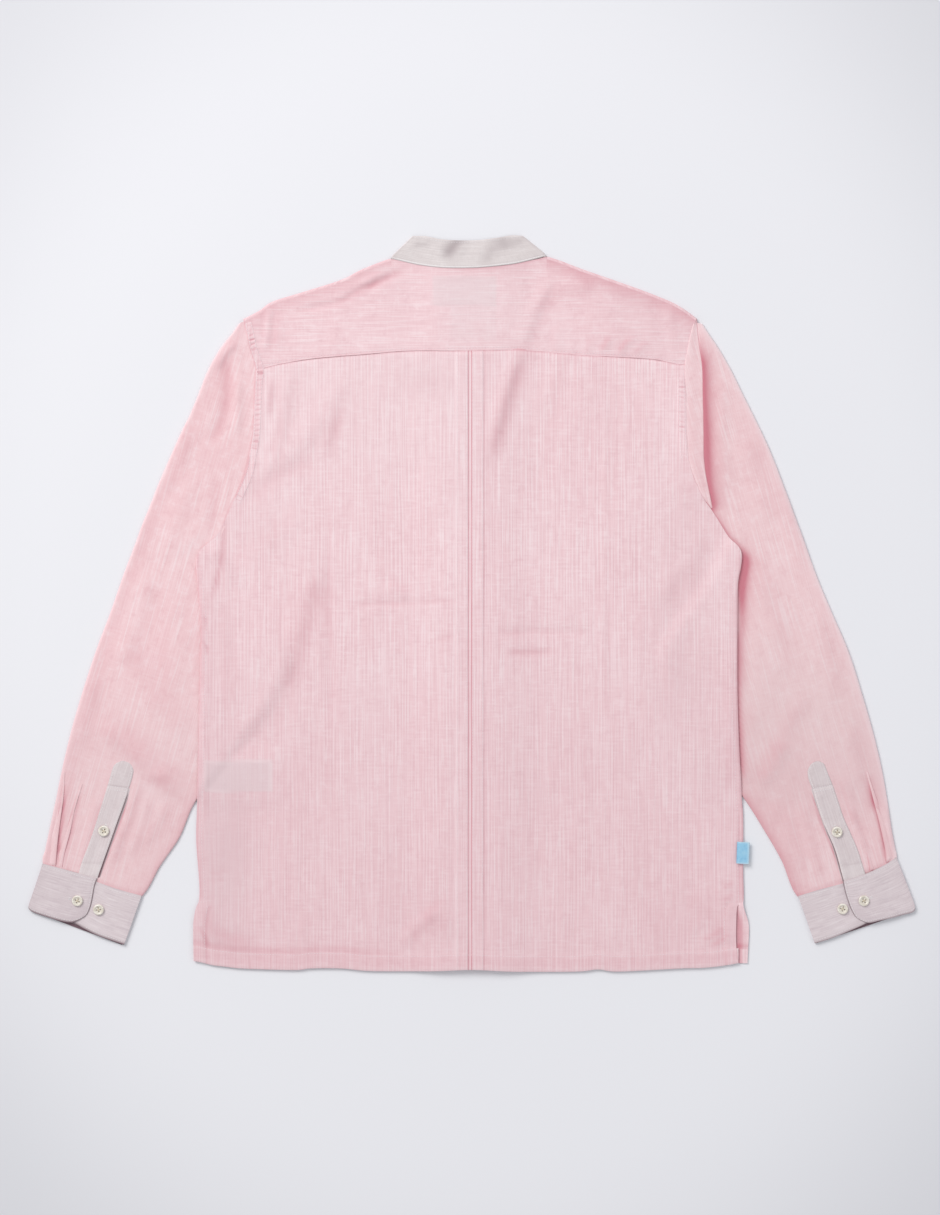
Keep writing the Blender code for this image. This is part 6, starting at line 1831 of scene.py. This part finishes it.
# node, x, y, height of the underside, turn in degrees, face down, lean to +X and +Y in degrees
BUTTONS = [
    ("button_cuff_left_1", -414.8, -312.6, 4.20, 20, False, 1.5, -1.0),
    ("button_cuff_left_2", -392.6, -322.1, 3.05, 55, False, -2.0, 1.5),
    ("button_cuff_right_1", 410.9, -312.6, 4.20, -15, False, 2.0, 1.0),
    ("button_cuff_right_2", 388.8, -321.3, 3.05, 30, False, -1.5, 2.0),
    ("button_sleeve_left", -387.1, -239.4, 3.90, 12, False, -1.0, 2.0),
    ("button_sleeve_right", 382.7, -240.5, 3.90, 40, False, 2.0, -1.0),
    ("button_collar", 0.0, 286.0, 0.04, 10, True, 0.0, 0.0),
] + [(f"button_front_{k + 1}", 0.0, 228.0 - 95.0 * k, 0.04, (25, -10, 40, 5, 60, -30)[k], True, 0.0, 0.0) for k in range(6)]

button_threads = Batch("button_threads")
for node, x, y, low, turn, down, lean_x, lean_y in BUTTONS:
    obj = bpy.data.objects.new(node + "_shell", BUTTON_MESH.copy())
    bpy.context.scene.collection.objects.link(obj)
    obj.rotation_euler = (math.radians(-lean_y) + (math.pi if down else 0), math.radians(lean_x), math.radians(turn))
    obj.location = placed([x, y, low + (2.2 if down else 0.0)])
    bpy.context.view_layer.update()
    settle(obj, IVORY, "button", node)
    # two crossed bundles of thread, sunk into the holes, and the shank below
    for sign in (1, -1):
        for strand in (-0.24, 0.24):
            across = np.array([1.0, sign]) / math.sqrt(2)
            beside = np.array([-across[1], across[0]])
            reach = HOLE_AT * math.sqrt(2)
            run = [(-reach, -0.9), (-reach * 0.99, 0.6), (-reach * 0.95, 1.30), (-reach * 0.80, 1.52), (-reach * 0.45, 1.62),
                   (0.0, 1.66 + 0.12 * (sign > 0)), (reach * 0.45, 1.62), (reach * 0.80, 1.52), (reach * 0.95, 1.30), (reach * 0.99, 0.6), (reach, -0.9)]
            path = [(across[0] * r + beside[0] * strand, across[1] * r + beside[1] * strand, h) for r, h in run]
            points, faces = tube(path, 0.17, 6)
            points = turned_about(points, math.radians(turn))
            if down:
                points[:, 0] *= -1
                points[:, 2] = 2.2 - points[:, 2]
                faces = [tuple(reversed(f)) for f in faces]
            button_threads.add(points + np.array([x, y, low]), faces)
button_threads = button_threads.make(IVORY_THREAD, "button")


# ---------------------------------------------------------------- stitches
bpy.context.view_layer.update()


class Ground:
    """The surface that a stitch lies on."""

    def __init__(self, *objs):
        self.trees = []
        for obj in objs:
            mesh = obj.data
            verts = np.empty(len(mesh.vertices) * 3)
            mesh.vertices.foreach_get("co", verts)
            self.trees.append(BVHTree.FromPolygons([Vector(v) for v in verts.reshape(-1, 3)], [tuple(p.vertices) for p in mesh.polygons]))

    def at(self, x, y, below=False):
        """Height in millimetres and slope of the surface seen from above or from below."""
        p = placed([x, y, -30.0 if below else 30.0])
        found = None
        for tree in self.trees:
            hit = tree.ray_cast(Vector(p), Vector((0, 0, 1 if below else -1)))
            if hit[0] is not None and (found is None or hit[3] < found[3]):
                found = hit
        return None if found is None else (found[0].z * 1000, found[1])


SIDES = 6
DASH_RINGS = ((-0.5, 0.0), (-0.40, 0.72), (-0.18, 1.0), (0.18, 1.0), (0.40, 0.72), (0.5, 0.0))


def dash(middle, along, up, length, width, height):
    """A short rounded thread: points and faces."""
    side = np.cross(up, along)
    side /= np.linalg.norm(side)
    points, faces, rings = [], [], []
    for place, size in DASH_RINGS:
        centre = middle + along * place * length - up * height * 0.5 * (2 * place) ** 2
        if size == 0:
            rings.append([len(points)])
            points.append(centre)
            continue
        rings.append(list(range(len(points), len(points) + SIDES)))
        for k in range(SIDES):
            a = 2 * math.pi * k / SIDES
            points.append(centre + side * width * size * math.cos(a) + up * height * size * math.sin(a))
    for low, high in zip(rings, rings[1:]):
        for k in range(SIDES):
            n = (k + 1) % SIDES
            if len(low) == 1:
                faces.append((low[0], high[k], high[n]))
            elif len(high) == 1:
                faces.append((low[k], high[0], low[n]))
            else:
                faces.append((low[k], high[k], high[n], low[n]))
    return points, faces


def sew(batch, ground, line, pitch=3.1, length=2.3, width=0.26, height=0.20, below=False, closed_curve=True, seed=1, skip=0.0):
    """Stitches along a line of millimetre points."""
    line = np.asarray(line, float)
    if len(line) > 2 and closed_curve:
        line = smooth_curve(line, max(24, len(line) * 10))
    total = np.linalg.norm(np.diff(line, axis=0), axis=1).sum()
    count = max(2, int(total / pitch))
    spots = resample(line, count * 2 + 1)
    chance = np.random.default_rng(seed)
    if below:
        height = min(height, 0.10)
    for k in range(count):
        a, b = spots[2 * k], spots[2 * k + 2]
        m = spots[2 * k + 1] + chance.normal(0, 0.07, 2)
        if chance.random() < skip:
            continue
        hit = ground.at(m[0], m[1], below)
        if hit is None:
            continue
        up = np.array(hit[1])
        if (up[2] > 0) == below:
            up = -up
        run = np.array([b[0] - a[0], b[1] - a[1], 0.0])
        run /= max(np.linalg.norm(run), 1e-9)
        along = run - up * np.dot(run, up)
        along /= np.linalg.norm(along)
        middle = np.array([m[0], m[1], hit[0]]) + up * height * 0.25
        points, faces = dash(middle, along, up, length * (1 + chance.normal(0, 0.05)), width, height)
        batch.add(points, faces)


def bar(batch, ground, x, y, length, angle, below=False, pitch=0.62, tall=1.5, gap=0.55):
    """A buttonhole: two rows of close stitches and a bar at each end."""
    c, s = math.cos(math.radians(angle)), math.sin(math.radians(angle))
    n = int(length / pitch)
    for side in (-1, 1):
        for k in range(n + 1):
            t = -length / 2 + k * length / n
            px, py = x + c * t - s * side * gap * 1.3, y + s * t + c * side * gap * 1.3
            stitch(batch, ground, px, py, angle + 90, tall * 0.62, below)
    for t in (-length / 2 - 0.4, length / 2 + 0.4):
        for k in (-1, 0, 1):
            stitch(batch, ground, x + c * t - s * k * 0.5, y + s * t + c * k * 0.5, angle + 90, tall * 1.4, below)


def stitch(batch, ground, x, y, angle, length, below=False, width=0.22, height=0.18):
    hit = ground.at(x, y, below)
    if hit is None:
        return
    up = np.array(hit[1])
    if (up[2] > 0) == below:
        up = -up
    run = np.array([math.cos(math.radians(angle)), math.sin(math.radians(angle)), 0.0])
    along = run - up * np.dot(run, up)
    along /= np.linalg.norm(along)
    batch.add(*dash(np.array([x, y, hit[0]]) + up * height * 0.3, along, up, length, width, height))


def beside(line, distance):
    """A curve at an even distance on the left of another (negative: on its right)."""
    line = smooth_curve(line, 200) if len(line) > 2 else resample(line, 40)
    step = np.gradient(line, axis=0)
    step /= np.linalg.norm(step, axis=1)[:, None]
    return line + np.stack([-step[:, 1], step[:, 0]], axis=1) * distance


def part_of(line, start, end):
    n = len(line)
    return line[int(start * (n - 1)) : int(end * (n - 1)) + 1]


body_stitches, trim_stitches, hidden_stitches = Batch("body_stitches"), Batch("trim_stitches"), Batch("hidden_stitches")
on_body = Ground(back, yoke)
on_back = Ground(back)
seam_line = smooth_curve(seen(YOKE_SEAM), 300)
sew(body_stitches, on_body, part_of(beside(seam_line, 1.6), 0.005, 0.995), seed=2, closed_curve=False)
# along the tucks
for x, seed in ((-16.2, 7), (-6.0, 8), (0.2, 9), (10.6, 10)):
    ys = np.linspace(265.0, -384.5, 30)
    sew(body_stitches, on_back, np.stack([x + 0 * ys, ys], axis=1), pitch=3.0, seed=seed, closed_curve=False)
# hem and vents
xs = np.linspace(-291.0, 276.5, 120)
sew(body_stitches, on_back, np.stack([xs, hem_at(xs) + HEM_DEPTH - 1.0], axis=1), seed=11, closed_curve=False)
ys = np.linspace(-318.0, -362.0, 12)
sew(body_stitches, on_back, np.stack([left_of(ys) + 12.2, ys], axis=1), seed=12, closed_curve=False)
sew(body_stitches, on_back, np.stack([right_of(ys) - 12.2, ys], axis=1), seed=13, closed_curve=False)
for x, lean in ((-291.2, 8.0), (275.2, -8.0)):
    for k in range(4):
        stitch(body_stitches, on_back, x + math.copysign(1.0, lean) * (1.0 + k * 2.6), -314.2, 0, 2.1)
# felled side seams
ys = np.linspace(36, -312, 60)
sew(body_stitches, on_back, np.stack([left_of(ys) + 5.6, ys], axis=1), seed=14, closed_curve=False)
sew(body_stitches, on_back, np.stack([right_of(ys) - 5.6, ys], axis=1), seed=15, closed_curve=False)

# the felled band of each armhole, drawn up by its stitches
def make_fell(name, hole, inward, ticks):
    count = 330
    part = part_of(smooth_curve(hole, 400), 0.012, 0.965)
    lowest, highest = (106.0, 400.0) if inward > 0 else (150.0, 242.0)
    part = resample(part[(part[:, 1] > lowest) & (part[:, 1] < highest)], count)
    step = np.gradient(part, axis=0)
    step /= np.linalg.norm(step, axis=1)[:, None]
    out = np.stack([-step[:, 1], step[:, 0]], axis=1) * inward
    at = np.array([0.35, 0.8, 1.4, 2.2, 3.1, 4.1, 5.1, 6.1, 6.9, 7.5, 7.9, 8.2])
    x = part[:, :1] + out[:, :1] * at
    y = part[:, 1:] + out[:, 1:] * at
    far = np.linspace(0, np.linalg.norm(np.diff(part, axis=0), axis=1).sum(), count)[:, None]
    level = np.array([[(on_body.at(a, b) or (3.0,))[0] for a, b in zip(*row)] for row in zip(x, y)])
    smooth = level.copy()
    for _ in range(3):
        smooth[1:-1] = (smooth[:-2] + 2 * smooth[1:-1] + smooth[2:]) / 4
    level = np.maximum(level, smooth)
    phase = far / 5.3 * 2 * math.pi + 1.3 * ripple(far, far * 0, 22, 301 + int(inward)) + 0.25 * (at - 4)
    rung = np.sin(phase)
    down = part[:, 1:]
    drawn_up = ease((down - (160 if inward > 0 else 170)) / 12) * (1 + (0.9 * ease((down - 262) / 6) * ease((288 - down) / 4) if inward > 0 else 0.0))
    strength = drawn_up * (0.50 + 0.50 * ripple(far, far * 0, 17, 305)) * np.exp(-(((at - 4.6) / 3.1) ** 4))
    ends = ease(far / 5) * ease((far[-1] - far) / 9)
    edge_line = np.exp(-((np.minimum(at - 0.35, 8.2 - at) / 0.5) ** 2))
    z = level + 0.14 + 0.14 * rung * strength - 0.20 * edge_line - 0.22 * (1 - ends)
    # painted shade in the troughs of the puckers and along the band's edges, painted highlight on their crests, and a
    # pale line near the outer stitches; on the left a little deeper lower down, with painted shade along the seam where
    # it shows
    deep = 0.66 * np.clip(-rung - 0.35, 0, 1) * strength + 0.04 * np.exp(-(((8.2 - at) / 0.8) ** 2)) + 0.09 * np.exp(-(((at - 0.35) / 0.6) ** 2))
    pale = 0.16 * np.clip(rung, 0, 1) * strength + 0.16 * np.exp(-(((at - 7.2) / 0.6) ** 2)) * drawn_up
    if inward > 0:
        deep = deep + 0.06 * ease((down - 190) / 20)
        seam_shows = ease((157 - down) / 6) * ease((down - 108) / 8)
        deep = deep + 0.85 * np.exp(-(((at - 0.35) / 0.65) ** 2)) * seam_shows
    # darker marks across the band at the given places
    for where, width, tone in ticks:
        deep = deep + tone * np.exp(-(((far - where * far[-1]) / width) ** 2))
    cloth = Cloth(name)
    points = np.stack([x, y, z], axis=-1)
    cloth.grid(points, np.stack([x, y], axis=-1), np.stack([deep, pale, 0 * deep], axis=-1), flip=inward < 0)
    return settle(cloth.make(wall=0.22), BODY_CLOTH, "cloth")


fell_left = make_fell("armhole_fell_left", left_hole, 1.0, ((0.28, 1.5, 0.45), (0.10, 0.9, 0.28), (0.16, 0.9, 0.34), (0.655, 0.7, 0.30), (0.69, 0.7, 0.36), (0.955, 0.6, 0.3), (0.98, 0.6, 0.3)))
fell_right = make_fell("armhole_fell_right", right_hole, -1.0, ((0.16, 1.0, 0.2), (0.45, 0.9, 0.22), (0.62, 0.9, 0.22)))
on_band = Ground(fell_left, fell_right)
for hole, inward, seed in ((left_hole, 1.0, 3), (right_hole, -1.0, 5)):
    for away, more in ((1.5, 0), (FELL - 1.2, 1)):
        sew(body_stitches, on_band, part_of(beside(hole, inward * away), 0.02, 0.955), width=0.30, seed=seed + more, closed_curve=False)

# collar: along the seam, the ends and the top edge
on_collar = Ground(collar)
seam_c, top_c = smooth_curve(seen(COLLAR_SEAM), 160), smooth_curve(seen(COLLAR_TOP), 160)
sew(trim_stitches, on_collar, part_of(seam_c * 0.945 + top_c * 0.055, 0.01, 0.99), pitch=2.7, length=2.1, seed=21, closed_curve=False)
sew(trim_stitches, on_collar, part_of(seam_c * 0.08 + top_c * 0.92, 0.02, 0.98), pitch=2.7, length=2.0, width=0.2, height=0.14, seed=22, closed_curve=False)

# cuffs and sleeve plackets
for side in ("left", "right"):
    c = {k: seen(v) for k, v in CUFFS[side].items() if k != "run"}
    on_cuff = Ground(cuffs[side])
    over = coons(c["top"], c["bottom"], c["outer"], c["end"], 41, 61)
    under = coons(c["under_top"], c["under_bottom"], np.array([c["under_top"][0], c["under_bottom"][0]]), c["inner"], 41, 61)
    for grid, last in ((over, 58), (under, 59)):
        for row in (2, 38):
            start = 1 if grid is over else 22
            sew(trim_stitches, on_cuff, grid[row, start:last], pitch=2.7, length=2.0, width=0.22, height=0.16, seed=30 + row, closed_curve=False)
    sew(trim_stitches, on_cuff, over[2:39, 58], pitch=2.7, length=2.0, width=0.22, height=0.16, seed=36, closed_curve=False)
    tower_ground = Ground(towers[side])
    table = seen(np.array(TOWERS[side]).reshape(-1, 2, 2)).reshape(-1, 4)
    line, _, _ = rows_of(table, 3.0)
    a, b = line[2:-2, :2], line[2:-2, 2:4]
    w = np.linalg.norm(b - a, axis=1)[:, None]
    for edge in (a + (b - a) / w * 1.9, b - (b - a) / w * 1.9):
        sew(trim_stitches, tower_ground, edge, pitch=2.7, length=2.0, width=0.22, height=0.16, seed=41, closed_curve=False)
    p, q = table[5, :2], table[5, 2:4]
    for drop in (0.0, 3.4):
        step = np.array([q[1] - p[1], p[0] - q[0]]) / np.linalg.norm(q - p) * drop
        sew(trim_stitches, tower_ground, np.array([p * 0.92 + q * 0.08, p * 0.08 + q * 0.92]) + step, pitch=2.5, length=1.9, width=0.22, height=0.16, seed=43, closed_curve=False)
    place = (-414.8, -312.6) if side == "left" else (410.9, -312.6)
    angle = math.degrees(math.atan2(c["top"][-1][1] - c["top"][0][1], c["top"][-1][0] - c["top"][0][0]))
    shift = -2.2 if side == "left" else 2.2
    ca, sa = math.cos(math.radians(angle)), math.sin(math.radians(angle))
    if side == "right":
        ca, sa = -ca, -sa
    bar(trim_stitches, on_cuff, place[0] + shift * abs(ca), place[1] + shift * (sa if side == "left" else sa), 13.5, angle)
    spot = (-387.1, -239.4) if side == "left" else (382.7, -240.5)
    lie = math.degrees(math.atan2(table[9, 1] - table[6, 1], table[9, 0] - table[6, 0]))
    bar(trim_stitches, tower_ground, spot[0], spot[1], 13.5, lie)

# what is sewn on the hidden side
on_front = Ground(front_left, front_right, front_placket, yoke, collar)
placket_ground = Ground(front_placket)
ys = np.linspace(268, -378, 60)
for x in (-14.0, 14.0):
    sew(hidden_stitches, placket_ground, np.stack([x + 0 * ys, ys], axis=1), pitch=3.0, seed=51, below=True, closed_curve=False)
for k in range(6):
    bar(hidden_stitches, placket_ground, 0.0, 228.0 - 95.0 * k, 13.5, 90, below=True)
bar(hidden_stitches, Ground(collar), 0.0, 286.0, 13.5, 0, below=True)
for ground, x_range, seed in ((Ground(front_left), (-291, -19), 53), (Ground(front_right), (19, 279), 54)):
    xs = np.linspace(*x_range, 60)
    rise = 4.0 * ease((286 - np.abs(xs)) / 30)
    sew(hidden_stitches, ground, np.stack([xs, hem_at(xs) + rise + 14.6], axis=1), seed=seed, below=True, closed_curve=False)
for table, seed in (([(-236, 262.5), (-182, 289.5), (-139, 302.5), (-92, 324)], 55), ([(84, 325.5), (113, 315.5), (155, 300.5), (232, 263.5)], 56)):
    sew(hidden_stitches, Ground(yoke), np.array(table, float) + np.array([0.0, 1.2]), seed=seed, below=True)

body_stitches = body_stitches.make(PINK_THREAD, "cloth")
trim_stitches = trim_stitches.make(GREY_THREAD, "trim")
hidden_stitches = hidden_stitches.make(PINK_THREAD, "cloth")
